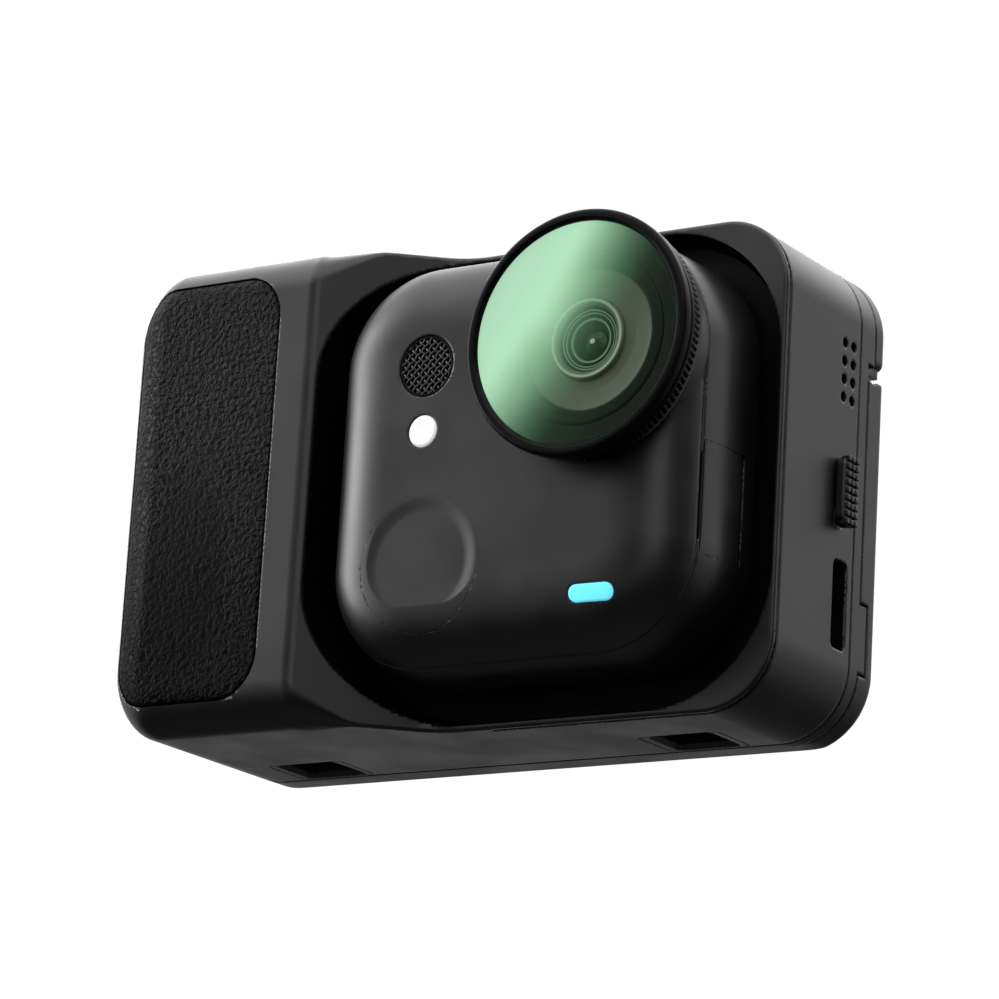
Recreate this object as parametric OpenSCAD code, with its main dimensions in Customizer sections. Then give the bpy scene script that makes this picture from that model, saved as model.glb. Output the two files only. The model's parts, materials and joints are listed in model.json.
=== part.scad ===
// Pocket action camera docked in a grip housing with a rear flip screen.
// Millimetres. The origin is the centre of the base face, between the two mount sockets.
// The lens faces -Y, +X is the side with the speaker and the USB-C port, and +Z is up.

/* [Pod] */
// Width of the pod, left to right
pod_w = 80.6; // [80.4:0.1:82]
// Height of the pod
pod_h = 53.5; // [53.3:0.1:55]
// Radius of the pod's four corners, seen from the front
pod_r = 8; // [7:0.5:9]
// Distance of the grip's front face ahead of the origin
grip_front = 23; // [22.5:0.1:24]
// Distance of the camera frame's front rim ahead of the origin
rim_front = 12.3; // [12:0.1:12.6]
// Radius of the grip's vertical front edge
grip_r = 8; // [7:0.5:8.5]
// Radius of the grip's top and bottom front edges
brow_r = 4.7; // [4:0.1:5]
// Wall thickness of the grip
grip_wall = 2.2; // [2:0.1:2.4]
// Wall thickness of the camera frame
frame_wall = 1.6; // [1.4:0.1:1.7]

/* [Camera bay] */
// Side of the square camera bay
bay_side = 52.15; // [51.8:0.05:52.3]
// Corner radius of the bay
bay_r = 14.5; // [14:0.1:15]
// Distance of the bay's floor ahead of the origin
bay_floor = 8.55; // [8.4:0.05:8.7]
// Thickness of the cradle plate on the bay's floor
plate_t = 0.85; // [0.7:0.05:0.85]

/* [Camera] */
// Width of the camera
cam_w = 46; // [45.5:0.1:46.4]
// Height of the camera
cam_h = 45.7; // [45.4:0.1:46]
// Corner radius of the camera, seen from the front
cam_r = 12; // [11.5:0.5:12.5]
// Depth of the camera's shell, front to back
cam_d = 16.1; // [16:0.05:16.2]
// Rounding of the camera's front edge
cam_edge = 7.5; // [7.4:0.1:7.6]
// Wall thickness of the camera's shells
cam_wall = 1.3; // [1.2:0.05:1.35]
// Depth of the front shell at the seam
cam_cap = 4.6; // [4.5:0.05:4.7]
// Radius of the shutter button
shutter_r = 7.45; // [7:0.05:7.6]

/* [Lens and filter] */
// Lens axis, across
lens_x = 25.4; // [25:0.1:25.4]
// Lens axis, height
lens_z = 36.8; // [36.5:0.1:37]
// Outer radius of the lens collar that the filter sits on
collar_r = 9.4; // [9.2:0.1:9.4]
// Outer radius of the filter's front ring
filter_r = 13.35; // [13.2:0.05:13.6]
// Radius of the clear glass inside the filter ring
glass_r = 12.1; // [11.8:0.05:12.1]
// Ridges around the filter's grip band
knurls = 60; // [40:4:80]

/* [Screen] */
// Thickness of the screen module
screen_t = 4; // [3.9:0.1:4]
// Height of the screen module's top edge
screen_top = 40.4; // [40:0.1:40.5]
// Height of the hinge axis
hinge_z = 47.3; // [47.2:0.1:47.4]
// Distance of the hinge axis behind the origin
hinge_y = 8.7; // [8.68:0.01:8.72]
// Half the width of the hinge arm
arm_half = 14; // [12:0.5:16]

/* [Controls and ports] */
// Radius of the record button on top of the grip
record_r = 5; // [4.5:0.1:5]
// Radius of the quick button on top of the grip
quick_r = 2.4; // [2:0.1:2.4]
// Length of the release slider
slider_l = 7.7; // [7.5:0.1:7.8]
// Distance of each mount socket from the middle
socket_x = 24.2; // [23.8:0.1:24.4]
// Width of a mount socket's opening
socket_w = 7.1; // [6.8:0.1:7.2]
// Depth of a mount socket's opening, front to back
socket_d = 5.9; // [5.6:0.1:6]

/* [Hidden] */
$fn = 64;
far = 60;
gap = 0.05;
half_w = pod_w / 2;
mid_z = pod_h / 2;
pod_rear = 10.05;
seam_y = 4.05;
back_y = 6;
block_y = 7.4;
groove_top = 41.85;
lip_z = 40.9;
lip_rear = 9;
ramp_start = -13.2;
ramp_end = -0.3;
grip_inner = -14.2;
bay_back = bay_floor - 1.25;
cam_x = 13.6;
cam_z = 27;
cam_rear = bay_floor + plate_t + 0.1;
cam_front = cam_rear + cam_d;
cam_seam = cam_front - cam_cap;
board_y = 3.05;
board_t = 0.8;
boss_x = 34.5;
boss_z = [5.2, 48.3];
boss_r = 2.2;
screw_r = 0.8;
slider_y = 0.8;
slider_z = 26.1;
slider_w = 2.8;
slider_travel = 2;
usb_y = 1.4;
usb_z = 13.95;
speaker_holes_y = [0.63, 2.53];
speaker_holes_z = [36.7, 38.7, 40.7, 42.75];
record_at = [-27.5, -8];
quick_at = [-18.2, -8];
press = 0.6;
pin_r = 0.75;
pin_half = 22;
pad_lo = [-37.6, 3];
pad_hi = [-17.6, 50.8];
pad_t = 1;
pad_gap = 0.15;
notch_z = [7.4, 15.3];
shutter_at = [4.75, 15.15];
mic_at = [4.15, 36.8];
mic_r = 3.4;
indicator_at = [4.15, 29.6];
indicator_r = 1.76;
bar_at = [26, 10.2];
bar_size = [5.2, 1.8];
door_z = [14.6, 26.6];
door_y = [-cam_seam + 0.4, -13.3];
door_t = 1.1;
door_axis = [cam_x + cam_w / 2 - 0.6, -13.85];
card_z = [15, 26];
filter_front = cam_front + 4.55;
filter_web = filter_front - 2.4;
filter_rear = cam_front + 0.2;
collar_front = filter_web + 0.1;
shoulder_r = 11.2;
barrel_r = 7.8;
barrel_front = collar_front - 0.8;
element_r = 3.5;
magnets = [[1.6, 21], [25.6, 21], [1.6, 33], [25.6, 33]];
contact_x = [-4.5, -1.5, 1.5, 4.5];
contact_z = 8.2;
cam_screws = [[-3, 10.5], [30, 10.5], [-3, 43.5], [13.6, 45.2]];

shell_black = [0.06, 0.06, 0.065];
pad_black = [0.09, 0.09, 0.09];
deep_black = [0.02, 0.02, 0.02];
steel = [0.72, 0.73, 0.75];
gold = [0.85, 0.66, 0.3];
board_green = [0.05, 0.25, 0.14];
cell_grey = [0.3, 0.31, 0.34];
glass_tint = [0.35, 0.8, 0.6, 0.5];

// Helpers

module block(lo, hi) {
  translate(lo) cube(hi - lo);
}

// A shape drawn in (x, z), swept from y0 to y1
module along_y(y0, y1) {
  translate([0, y1, 0]) rotate([90, 0, 0]) linear_extrude(y1 - y0) children();
}

// A shape drawn in (y, z), swept from x0 to x1
module along_x(x0, x1) {
  translate([x0, 0, 0]) rotate([90, 0, 90]) linear_extrude(x1 - x0) children();
}

// A shape drawn in (x, y), swept from z0 to z1
module along_z(z0, z1) {
  translate([0, 0, z0]) linear_extrude(z1 - z0) children();
}

module rod_y(at, r, y0, y1) {
  translate([at[0], y1, at[1]]) rotate([90, 0, 0]) cylinder(r = r, h = y1 - y0);
}

module rod_x(y, z, r, x0, x1) {
  translate([x0, y, z]) rotate([0, 90, 0]) cylinder(r = r, h = x1 - x0);
}

module rod_z(at, r, z0, z1) {
  translate([at[0], at[1], z0]) cylinder(r = r, h = z1 - z0);
}

module round_rect(w, h, r) {
  square([w - 2 * r, h], center = true);
  square([w, h - 2 * r], center = true);
  for (sx = [-1, 1], sz = [-1, 1])
    translate([sx * (w / 2 - r), sz * (h / 2 - r)]) circle(r);
}

module slot_2d(w, h) {
  square([w - h, h], center = true);
  for (s = [-1, 1]) translate([s * (w - h) / 2, 0]) circle(h / 2);
}

// The notch between a square corner and its rounding, to cut from that corner
module corner_waste(r) {
  difference() {
    translate([-0.5, -0.5]) square([r + 0.5, r + 0.5]);
    translate([r, r]) circle(r);
  }
}

// Pod: the meeting of its front, top and side outlines, drawn in by d

module plan_2d(d) {
  left = -half_w + d;
  front = -grip_front + d;
  difference() {
    polygon([[left, pod_rear], [left, front], [ramp_start, front],
             [ramp_end, -rim_front + d], [half_w - d, -rim_front + d], [half_w - d, pod_rear]]);
    translate([left, front]) corner_waste(grip_r - d);
  }
}

module side_2d(d) {
  difference() {
    translate([-grip_front + d, d]) square([grip_front + pod_rear, pod_h - 2 * d]);
    translate([-grip_front + d, d]) corner_waste(brow_r - d);
    translate([-grip_front + d, pod_h - d]) mirror([0, 1]) corner_waste(brow_r - d);
  }
}

module front_2d(d) {
  translate([0, mid_z]) round_rect(pod_w - 2 * d, pod_h - 2 * d, pod_r - d);
}

module pod_solid(d = 0) {
  intersection() {
    along_z(0, pod_h) plan_2d(d);
    along_y(-far, far) front_2d(d);
    along_x(-far, far) side_2d(d);
  }
}

module pod_slice(y0, y1, z0, z1) {
  intersection() {
    along_y(y0, y1) front_2d(0);
    block([-far, y0, z0], [far, y1, z1]);
  }
}

module bay_2d(side, r) {
  translate([cam_x, mid_z]) round_rect(side, side, r);
}

module pad_window(grow) {
  size = pad_hi - pad_lo;
  middle = (pad_hi + pad_lo) / 2;
  along_y(-far, -10)
    translate(middle) round_rect(size[0] + 2 * grow, size[1] + 2 * grow, 5 + grow);
}

module bosses() {
  for (z = boss_z) {
    rod_y([boss_x, z], boss_r, -bay_back - 0.2, seam_y - 0.1);
    rod_y([-boss_x, z], boss_r, -grip_front + grip_wall + 0.1, seam_y - 0.1);
  }
}

module side_ports() {
  for (y = speaker_holes_y, z = speaker_holes_z)
    rod_x(y, z, 0.55, half_w - 3, half_w + 1);
  along_x(half_w - 3, half_w + 1) translate([usb_y, usb_z]) rotate(90) round_rect(9.6, 3, 0.6);
  block([half_w - 3, slider_y - 0.95, slider_z - 1.7 - slider_travel],
        [half_w + 1, slider_y + 0.95, slider_z + 1.7]);
}

module pod_front_housing() {
  color(shell_black) difference() {
    intersection() {
      pod_solid();
      block([-far, -far, -far], [far, seam_y, far]);
    }
    difference() {
      union() {
        intersection() {
          pod_solid(grip_wall);
          block([-far, -far, -far], [grip_inner, far, far]);
        }
        intersection() {
          along_y(-bay_back, far) front_2d(frame_wall);
          block([grip_inner - 0.1, -far, -far], [far, far, far]);
        }
      }
      bosses();
    }
    along_y(-far, -bay_floor) bay_2d(bay_side, bay_r);
    difference() {
      pad_window(pad_gap);
      pod_solid(pad_t + gap);
    }
    for (s = [-1, 1])
      block([s * socket_x - 4.9, -3.55, -1], [s * socket_x + 4.9, 3.55, grip_wall + 1]);
    side_ports();
    rod_z(record_at, record_r + 0.1, pod_h - 3, pod_h + 1);
    rod_z(quick_at, quick_r + 0.1, pod_h - 3, pod_h + 1);
    for (s = [-1, 1], z = boss_z) rod_y([s * boss_x, z], screw_r + gap, -1.2, seam_y + 1);
    for (x = contact_x) rod_y([cam_x + x, contact_z], 0.65, -bay_floor - 1, -bay_back + 1);
  }
}

module pod_rear_housing() {
  color(shell_black) difference() {
    union() {
      pod_slice(seam_y, back_y, 0, pod_h);
      pod_slice(back_y - 0.1, block_y, groove_top, pod_h);
      intersection() {
        pod_slice(back_y - 0.1, back_y + 1.6, notch_z[0] + 0.2, notch_z[1] - 0.2);
        block([half_w - 1.4, 0, 0], [far, far, far]);
      }
    }
    block([-arm_half - 0.3, block_y - 0.2, groove_top - 1], [arm_half + 0.3, far, far]);
    for (s = [-1, 1], z = boss_z) {
      rod_y([s * boss_x, z], screw_r + gap, 0, far);
      rod_y([s * boss_x, z], 1.7, 4.7, far);
    }
  }
}

module grip_pad() {
  color(pad_black) difference() {
    intersection() {
      pod_solid();
      pad_window(0);
    }
    pod_solid(pad_t);
  }
}

module cradle_plate() {
  color(deep_black) difference() {
    along_y(-bay_floor - plate_t, -bay_floor) bay_2d(bay_side - 1.6, bay_r - 0.8);
    for (x = contact_x) rod_y([cam_x + x, contact_z], 0.65, -bay_floor - 2, -bay_floor + 1);
  }
}

module pogo_contacts() {
  color(gold) for (x = contact_x)
    rod_y([cam_x + x, contact_z], 0.6, -cam_rear + gap, -bay_back + 1.5);
}

module magnet_discs(y0, y1) {
  color(steel) for (at = magnets) rod_y(at, 3, y0, y1);
}

module cradle_magnets() {
  magnet_discs(-bay_back + gap, -bay_back + 1.5);
}

module mount_sockets() {
  color(deep_black) for (s = [-1, 1]) translate([s * socket_x, 0, 0]) difference() {
    block([-4.85, -3.5, 0], [4.85, 3.5, 6.4]);
    block([-socket_w / 2, -socket_d / 2, -1], [socket_w / 2, socket_d / 2, 5.4]);
  }
}

module mount_magnets() {
  color(steel) for (s = [-1, 1]) rod_z([s * socket_x, 0], 2.9, 6.45, 7.7);
}

module pod_battery() {
  color(cell_grey) block([-36, -19, 9.5], [-17, 2.5, 44]);
}

module pod_main_board() {
  color(board_green) difference() {
    block([-12.8, board_y, 8], [36, board_y + board_t, 45.5]);
    for (at = magnets) rod_y(at, 0.8, 0, seam_y);
  }
}

module speaker_driver() {
  color(deep_black) {
    block([33.5, -4.5, 34.5], [37.2, 2.9, 45]);
    block([37.1, -3.8, 35.2], [38.1, 2.2, 44.3]);
  }
}

module speaker_mesh() {
  color(deep_black) block([38.2, -0.4, 35.8], [38.65, 3, 43.7]);
}

module usb_c_socket() {
  color(steel) difference() {
    along_x(31.3, 38.6) translate([usb_y, usb_z]) rotate(90) slot_2d(8.94, 3.16);
    along_x(32, 39) translate([usb_y, usb_z]) rotate(90) slot_2d(8.34, 2.56);
  }
}

module usb_c_tongue() {
  color(deep_black) block([32, usb_y - 0.35, usb_z - 3.35], [37.4, usb_y + 0.35, usb_z + 3.35]);
}

// Closes the groove between the screen and the hinge block, set back from both
module hinge_lip() {
  intersection() {
    union() {
      pod_slice(block_y, lip_rear, lip_z, groove_top + 0.1);
      pod_slice(back_y + 0.05, block_y + 0.1, lip_z, groove_top - 0.05);
    }
    block([0.5 - half_w, 0, 0], [half_w - 0.5, far, far]);
  }
}

module hinge_block(s) {
  color(shell_black) difference() {
    intersection() {
      union() {
        pod_slice(block_y, pod_rear, groove_top, pod_h);
        hinge_lip();
      }
      block([min(s * far, s * (arm_half + 0.3)), 0, 0], [max(s * far, s * (arm_half + 0.3)), far, far]);
    }
    rod_x(hinge_y, hinge_z, pin_r, -pin_half - 0.1, pin_half + 0.1);
  }
}

module hinge_block_left() {
  hinge_block(-1);
}

module hinge_block_right() {
  hinge_block(1);
}

module hinge_pin() {
  color(steel) rod_x(hinge_y, hinge_z, pin_r, -pin_half, pin_half);
}

module housing_screws() {
  color(steel) for (s = [-1, 1], z = boss_z) difference() {
    union() {
      rod_y([s * boss_x, z], screw_r, -1, 4.75);
      rod_y([s * boss_x, z], 1.6, 4.7, 5.9);
    }
    along_y(5.3, 6) translate([s * boss_x, z]) {
      square([1.8, 0.5], center = true);
      square([0.5, 1.8], center = true);
    }
  }
}

module button_board() {
  color(board_green) block([-32, -16, 48.5], [-14.6, 0, 49.2]);
}

module button_domes() {
  color(steel) for (at = [record_at, quick_at]) rod_z(at, 1.8, 49.25, 49.8);
}

// The screen's outline, drawn in by d on every side
module screen_window(d, y0, y1) {
  intersection() {
    along_y(y0, y1) front_2d(d);
    block([-far, y0, d], [far, y1, screen_top - d]);
  }
}

module screen_frame() {
  z0 = 0.3;
  color(shell_black) difference() {
    intersection() {
      pod_slice(back_y + 0.05, pod_rear, 0, pod_h);
      block([-far, 0, z0], [far, far, screen_top]);
    }
    screen_window(1.7, back_y + 1.3, far);
    block([half_w - 1.6, 0, notch_z[0]], [far, back_y + 1.8, notch_z[1]]);
  }
}

module screen_glass() {
  color(deep_black) screen_window(1.8, pod_rear - 0.9, pod_rear - 0.05);
}

module display_panel() {
  color([0.03, 0.03, 0.05]) block([-36, back_y + 1.4, 4], [36, pod_rear - 0.95, screen_top - 3.5]);
}

module hinge_knuckle() {
  arm_t = pod_rear - hinge_y - 0.05;
  color(shell_black) difference() {
    union() {
      rod_x(hinge_y, hinge_z, arm_t, -arm_half, arm_half);
      block([-arm_half, hinge_y - arm_t, screen_top], [arm_half, hinge_y + arm_t, hinge_z]);
    }
    rod_x(hinge_y, hinge_z, pin_r + gap, -far, far);
  }
}

module top_button(at, r) {
  color(shell_black) {
    rod_z(at, r, 51, pod_h + 0.8);
    rod_z(at, r + 0.6, 50.5, 51.2);
  }
}

module record_button() {
  top_button(record_at, record_r);
}

module quick_button() {
  top_button(quick_at, quick_r);
}

module release_slider() {
  color(shell_black) {
    along_x(half_w + 0.06, half_w + 1.6)
      translate([slider_y, slider_z]) rotate(90) round_rect(slider_l, slider_w, 1);
    block([half_w - 2, slider_y - 0.85, slider_z - 1.6], [half_w + 0.2, slider_y + 0.85, slider_z + 1.6]);
  }
}

module latch_bar() {
  color(steel) block([half_w - 4, -6.5, slider_z - 4], [half_w - 2.05, slider_y + 1.4, slider_z + 4]);
}

// Camera: one rounded block, drawn in by d

module cam_corner_2d(d) {
  r = cam_r - d;
  depth = cam_d - 2 * d;
  edge = cam_edge - d;
  square([r - edge, depth]);
  square([r, depth - edge]);
  intersection() {
    translate([r - edge, depth - edge]) circle(edge, $fn = 40);
    square([r, depth]);
  }
}

module cam_block(d = 0) {
  dx = cam_w / 2 - cam_r;
  dz = cam_h / 2 - cam_r;
  hull() for (sx = [-1, 1], sz = [-1, 1])
    translate([cam_x + sx * dx, -cam_rear - d, cam_z + sz * dz])
      rotate([90, 0, 0]) rotate_extrude($fn = 40) cam_corner_2d(d);
}

module cam_face(y) {
  block([-far, -far, -far], [far, y, far]);
}

module door_window(grow) {
  block([cam_x + cam_w / 2 - 4, door_y[0] - grow, door_z[0] - grow],
        [far, door_y[1] + grow, door_z[1] + grow]);
}

module camera_front_shell() {
  color(shell_black) difference() {
    union() {
      intersection() {
        cam_block();
        cam_face(-cam_seam - gap / 2);
      }
      rod_y([lens_x, lens_z], shoulder_r, -cam_front, -cam_seam - gap / 2);
    }
    cam_block(cam_wall);
    rod_y([lens_x, lens_z], collar_r + gap, -far, 0);
    rod_y(shutter_at, shutter_r + 0.1, -far, 0);
    rod_y(mic_at, mic_r, -far, -cam_front + 0.5);
    rod_y(mic_at, 1.2, -far, 0);
    rod_y(indicator_at, indicator_r + gap, -far, 0);
    along_y(-far, 0) translate(bar_at) slot_2d(bar_size[0] + 0.1, bar_size[1] + 0.1);
  }
}

module camera_rear_shell() {
  color(shell_black) difference() {
    union() {
      difference() {
        intersection() {
          cam_block();
          block([-far, -cam_seam + gap / 2, -far], [far, far, far]);
        }
        cam_block(cam_wall);
      }
      for (at = cam_screws) rod_y(at, 1.5, -cam_rear - cam_wall - 1.3, -cam_rear - 0.5);
    }
    door_window(0.1);
    block([cam_x + cam_w / 2 - 1.7, -cam_seam - 1, door_z[0] + 1.4], [far, door_y[0], door_z[1] - 1.4]);
    rod_z(door_axis, 0.3, door_z[0] - 1, door_z[1] + 1);
    for (x = contact_x) rod_y([cam_x + x, contact_z], 0.95, -cam_rear - 2, 0);
    for (at = cam_screws) rod_y(at, 0.6, -cam_rear - cam_wall - 2, -cam_rear - 0.6);
  }
}

module mic_mesh() {
  color(deep_black) rod_y(mic_at, mic_r - gap, -cam_front + 0.05, -cam_front + 0.45);
}

module camera_microphone() {
  color(steel) rod_y(mic_at, 2, -cam_front + cam_wall + 0.1, -cam_front + cam_wall + 2);
}

module indicator_lens() {
  color([0.95, 0.95, 0.93]) rod_y(indicator_at, indicator_r, -cam_front, -cam_front + 1.25);
}

module light_bar() {
  color([0.3, 0.8, 0.9]) intersection() {
    cam_block();
    along_y(-far, -cam_front + 1.9) translate(bar_at) slot_2d(bar_size[0], bar_size[1]);
  }
}

module lens_collar() {
  color(deep_black) difference() {
    union() {
      rod_y([lens_x, lens_z], collar_r, -collar_front, -cam_seam - gap);
      intersection() {
        cam_block(cam_wall + gap);
        union() {
          rod_y([lens_x, lens_z], collar_r, -cam_seam - 1, -cam_front + 6);
          rod_y([lens_x, lens_z], collar_r + 0.35, -cam_front + 4.8, -cam_front + 6);
        }
      }
    }
    rod_y([lens_x, lens_z], barrel_r + gap, -far, 0);
  }
}

module lens_barrel() {
  color(deep_black) difference() {
    union() {
      rod_y([lens_x, lens_z], barrel_r, -barrel_front, -cam_front + 5.6);
      rod_y([lens_x, lens_z], 4.43, -barrel_front - 0.5, -barrel_front + 0.1);
      rod_y([lens_x, lens_z], 6, -cam_front + 5.5, -14.9);
    }
    rod_y([lens_x, lens_z], element_r + gap, -far, -14);
  }
}

// A lens element with a domed front face
module element(front, rear, dome) {
  radius = (element_r * element_r + dome * dome) / (2 * dome);
  intersection() {
    rod_y([lens_x, lens_z], element_r, -front, -rear);
    translate([lens_x, -front + radius, lens_z]) sphere(radius, $fn = 96);
  }
}

module lens_front_element() {
  color([0.1, 0.14, 0.16]) element(barrel_front + 0.3, barrel_front - 1.6, 0.9);
}

module lens_rear_element() {
  color([0.1, 0.14, 0.16]) element(barrel_front - 3, barrel_front - 6, 0.6);
}

module image_sensor() {
  color([0.12, 0.1, 0.16]) block([lens_x - 4.5, -14.7, lens_z - 3.5], [lens_x + 4.5, -13.95, lens_z + 3.5]);
}

module sensor_board() {
  color(board_green) block([lens_x - 7, -13.9, lens_z - 7], [lens_x + 7, -13.1, lens_z + 7]);
}

module camera_main_board() {
  color(board_green) difference() {
    along_y(-12.9, -12.1) translate([cam_x, cam_z]) round_rect(40, 39.7, 9);
    for (at = cam_screws) rod_y(at, 0.65, -20, 0);
  }
}

module camera_battery() {
  color(cell_grey) block([-5, -20.3, 10.5], [11.5, -14, 43.5]);
}

module camera_magnets() {
  magnet_discs(-12, -cam_rear - cam_wall - gap);
}

module camera_contacts() {
  color(gold) for (x = contact_x)
    rod_y([cam_x + x, contact_z], 0.9, -cam_rear - cam_wall, -cam_rear);
}

module memory_card() {
  color(deep_black) block([20, -18.3, card_z[0]], [34.8, -17.3, card_z[1]]);
}

module card_socket() {
  color(steel) difference() {
    block([19.5, -18.9, card_z[0] - 0.5], [34.9, -16.7, card_z[1] + 0.5]);
    block([19.9, -18.35, card_z[0] - gap], [36, -17.25, card_z[1] + gap]);
  }
}

module shutter_dome() {
  color(steel) rod_y(shutter_at, 3, -21.3, -20.6);
}

module camera_screws() {
  color(steel) for (at = cam_screws) {
    rod_y(at, 0.6, -13.2, -10.8);
    rod_y(at, 1.2, -13.5, -12.95);
  }
}

module shutter_button() {
  dish_r = 80;
  color(shell_black) difference() {
    intersection() {
      cam_block();
      rod_y(shutter_at, shutter_r, -far, -21.9);
    }
    translate([shutter_at[0], -cam_front - dish_r + 0.35, shutter_at[1]]) sphere(dish_r, $fn = 160);
  }
}

module card_door() {
  color(shell_black) difference() {
    union() {
      intersection() {
        difference() {
          cam_block();
          cam_block(door_t);
        }
        block([cam_x + cam_w / 2 - 4, door_y[0], door_z[0]], [far, door_axis[1], door_z[1]]);
      }
      rod_z(door_axis, 0.5, door_z[0], door_z[1]);
    }
    rod_z(door_axis, 0.35, 0, far);
  }
}

module door_pin() {
  color(steel) rod_z(door_axis, 0.3, door_z[0] - 0.8, door_z[1] + 0.8);
}

// Filter

module knurled_2d(outer, depth) {
  steps = 2 * knurls;
  polygon([for (i = [0 : steps - 1])
    let (r = outer - depth * (i % 2), a = 360 * i / steps) [r * cos(a), r * sin(a)]]);
}

module filter_ring() {
  color(deep_black) difference() {
    union() {
      rod_y([lens_x, lens_z], filter_r, -filter_front, -filter_web - 0.2);
      rod_y([lens_x, lens_z], 12.3, -filter_web - 0.3, -filter_rear);
      along_y(-filter_web + 0.2, -filter_rear) translate([lens_x, lens_z]) knurled_2d(12.8, 0.3);
    }
    rod_y([lens_x, lens_z], glass_r, -far, -filter_web);
    rod_y([lens_x, lens_z], collar_r + 0.07, -far, 0);
    rod_y([lens_x, lens_z], glass_r + 0.2, -filter_front + 0.35, -filter_front + 1.5);
  }
}

module filter_glass() {
  color(glass_tint) rod_y([lens_x, lens_z], glass_r - gap, -filter_front + 0.4, -filter_front + 1.4);
}

module filter_retaining_ring() {
  color(deep_black) difference() {
    rod_y([lens_x, lens_z], glass_r - gap, -filter_front + 1.45, -filter_web - 0.1);
    rod_y([lens_x, lens_z], glass_r - 0.8, -far, 0);
  }
}

pod_front_housing();
pod_rear_housing();
grip_pad();
cradle_plate();
pogo_contacts();
cradle_magnets();
mount_sockets();
mount_magnets();
pod_battery();
pod_main_board();
speaker_driver();
speaker_mesh();
usb_c_socket();
usb_c_tongue();
hinge_block_left();
hinge_block_right();
hinge_pin();
housing_screws();
button_board();
button_domes();
screen_frame();
screen_glass();
display_panel();
hinge_knuckle();
record_button();
quick_button();
release_slider();
latch_bar();
camera_front_shell();
camera_rear_shell();
mic_mesh();
camera_microphone();
indicator_lens();
light_bar();
lens_collar();
lens_barrel();
lens_front_element();
lens_rear_element();
image_sensor();
sensor_board();
camera_main_board();
camera_battery();
camera_magnets();
camera_contacts();
memory_card();
card_socket();
shutter_dome();
camera_screws();
shutter_button();
card_door();
door_pin();
filter_ring();
filter_glass();
filter_retaining_ring();
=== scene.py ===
"""Looks of a pocket action camera docked in a grip housing with a rear flip screen.

Smooth shells are described as distance fields in millimetres, meshed on a grid and pulled onto the
surface. Round pieces are turned from profiles. Every place comes from the frame's own boxes.
"""
import cmath
import json
import math

import bpy
import numpy as np
from mathutils import Matrix, Vector, noise


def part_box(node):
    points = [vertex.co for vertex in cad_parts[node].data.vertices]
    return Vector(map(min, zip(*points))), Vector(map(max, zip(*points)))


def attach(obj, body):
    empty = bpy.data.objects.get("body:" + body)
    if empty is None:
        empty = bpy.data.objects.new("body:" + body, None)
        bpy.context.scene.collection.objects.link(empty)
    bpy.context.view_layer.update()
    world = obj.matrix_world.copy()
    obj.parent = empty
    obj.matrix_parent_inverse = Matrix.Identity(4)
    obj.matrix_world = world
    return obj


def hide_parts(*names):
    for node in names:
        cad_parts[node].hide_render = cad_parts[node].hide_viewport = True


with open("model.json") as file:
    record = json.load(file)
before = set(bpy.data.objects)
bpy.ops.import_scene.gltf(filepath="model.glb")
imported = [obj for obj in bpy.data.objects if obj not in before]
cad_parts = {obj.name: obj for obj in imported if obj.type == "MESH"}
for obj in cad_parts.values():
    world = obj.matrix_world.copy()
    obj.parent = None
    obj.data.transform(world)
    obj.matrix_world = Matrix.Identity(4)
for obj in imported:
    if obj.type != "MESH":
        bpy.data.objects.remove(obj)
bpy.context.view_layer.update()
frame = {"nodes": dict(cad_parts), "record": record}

MM = 0.001
FINE = 0.3


def corners(node):
    """Lowest and highest corner of a CAD node, in millimetres."""
    lo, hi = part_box(node)
    return np.array(lo) / MM, np.array(hi) / MM


def middle(node):
    lo, hi = corners(node)
    return (lo + hi) / 2


# Driving dimensions, in millimetres: read from the frame, or named here for what the visual adds

POD_LO, POD_HI = corners("pod_front_housing")
HALF_W = POD_HI[0]
MID_Z = POD_HI[2] / 2
SEAM_Y = POD_HI[1]
GRIP_Y = POD_LO[1]
POD_R = 8.0
RIM_Y, RIM_R, RIM_BEND = -12.3, 0.4, 7.0
RAMP_START, RAMP_END, GRIP_BEND = -13.2, -0.3, 2.2
BROW_START, BROW_END, BROW_R = -13.5, -7.6, 4.7
GRIP_WALL, FRAME_WALL, BAY_WALL, CAMERA_WALL = 2.2, 1.6, 1.25, 1.3
DIVIDER = -14.3, -14.2
GAP = 0.06
PAD_LO, PAD_HI = corners("grip_pad")
PAD_R, PAD_DEPTH, PAD_REAR = 5, 1.06, -10

BAY_FLOOR = corners("cradle_plate")[1][1]
BAY_HALF, BAY_R = 26.08, 14.5
SIDE_DEPTH, TOP_DEPTH = 3, 3
USB_HALF, USB_R = (1.5, 4.8), 0.6
SLOT_HALF, SLOT_R, SLOT_DROP = (0.95, 2.7), 0.3, 1
SPEAKER_Y, SPEAKER_Z, SPEAKER_R = (0.63, 2.53), (36.7, 38.7, 40.7, 42.75), 0.56
FLANGE, FLANGE_H, BUTTON_TRAVEL = 0.6, 0.7, 0.75
SCREW_LO, SCREW_HI = corners("housing_screws")
SCREW_R, POST_R, HEAD_R, THREAD_R = 1.6, 2.2, 1.7, 0.85
POST_X = SCREW_HI[0] - SCREW_R
POST_Z = SCREW_LO[2] + SCREW_R, SCREW_HI[2] - SCREW_R
SOCKET_HALF, SOCKET_BORE = (4.85, 3.5), (3.55, 2.95)
SOCKET_X = corners("mount_sockets")[1][0] - SOCKET_HALF[0]

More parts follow.
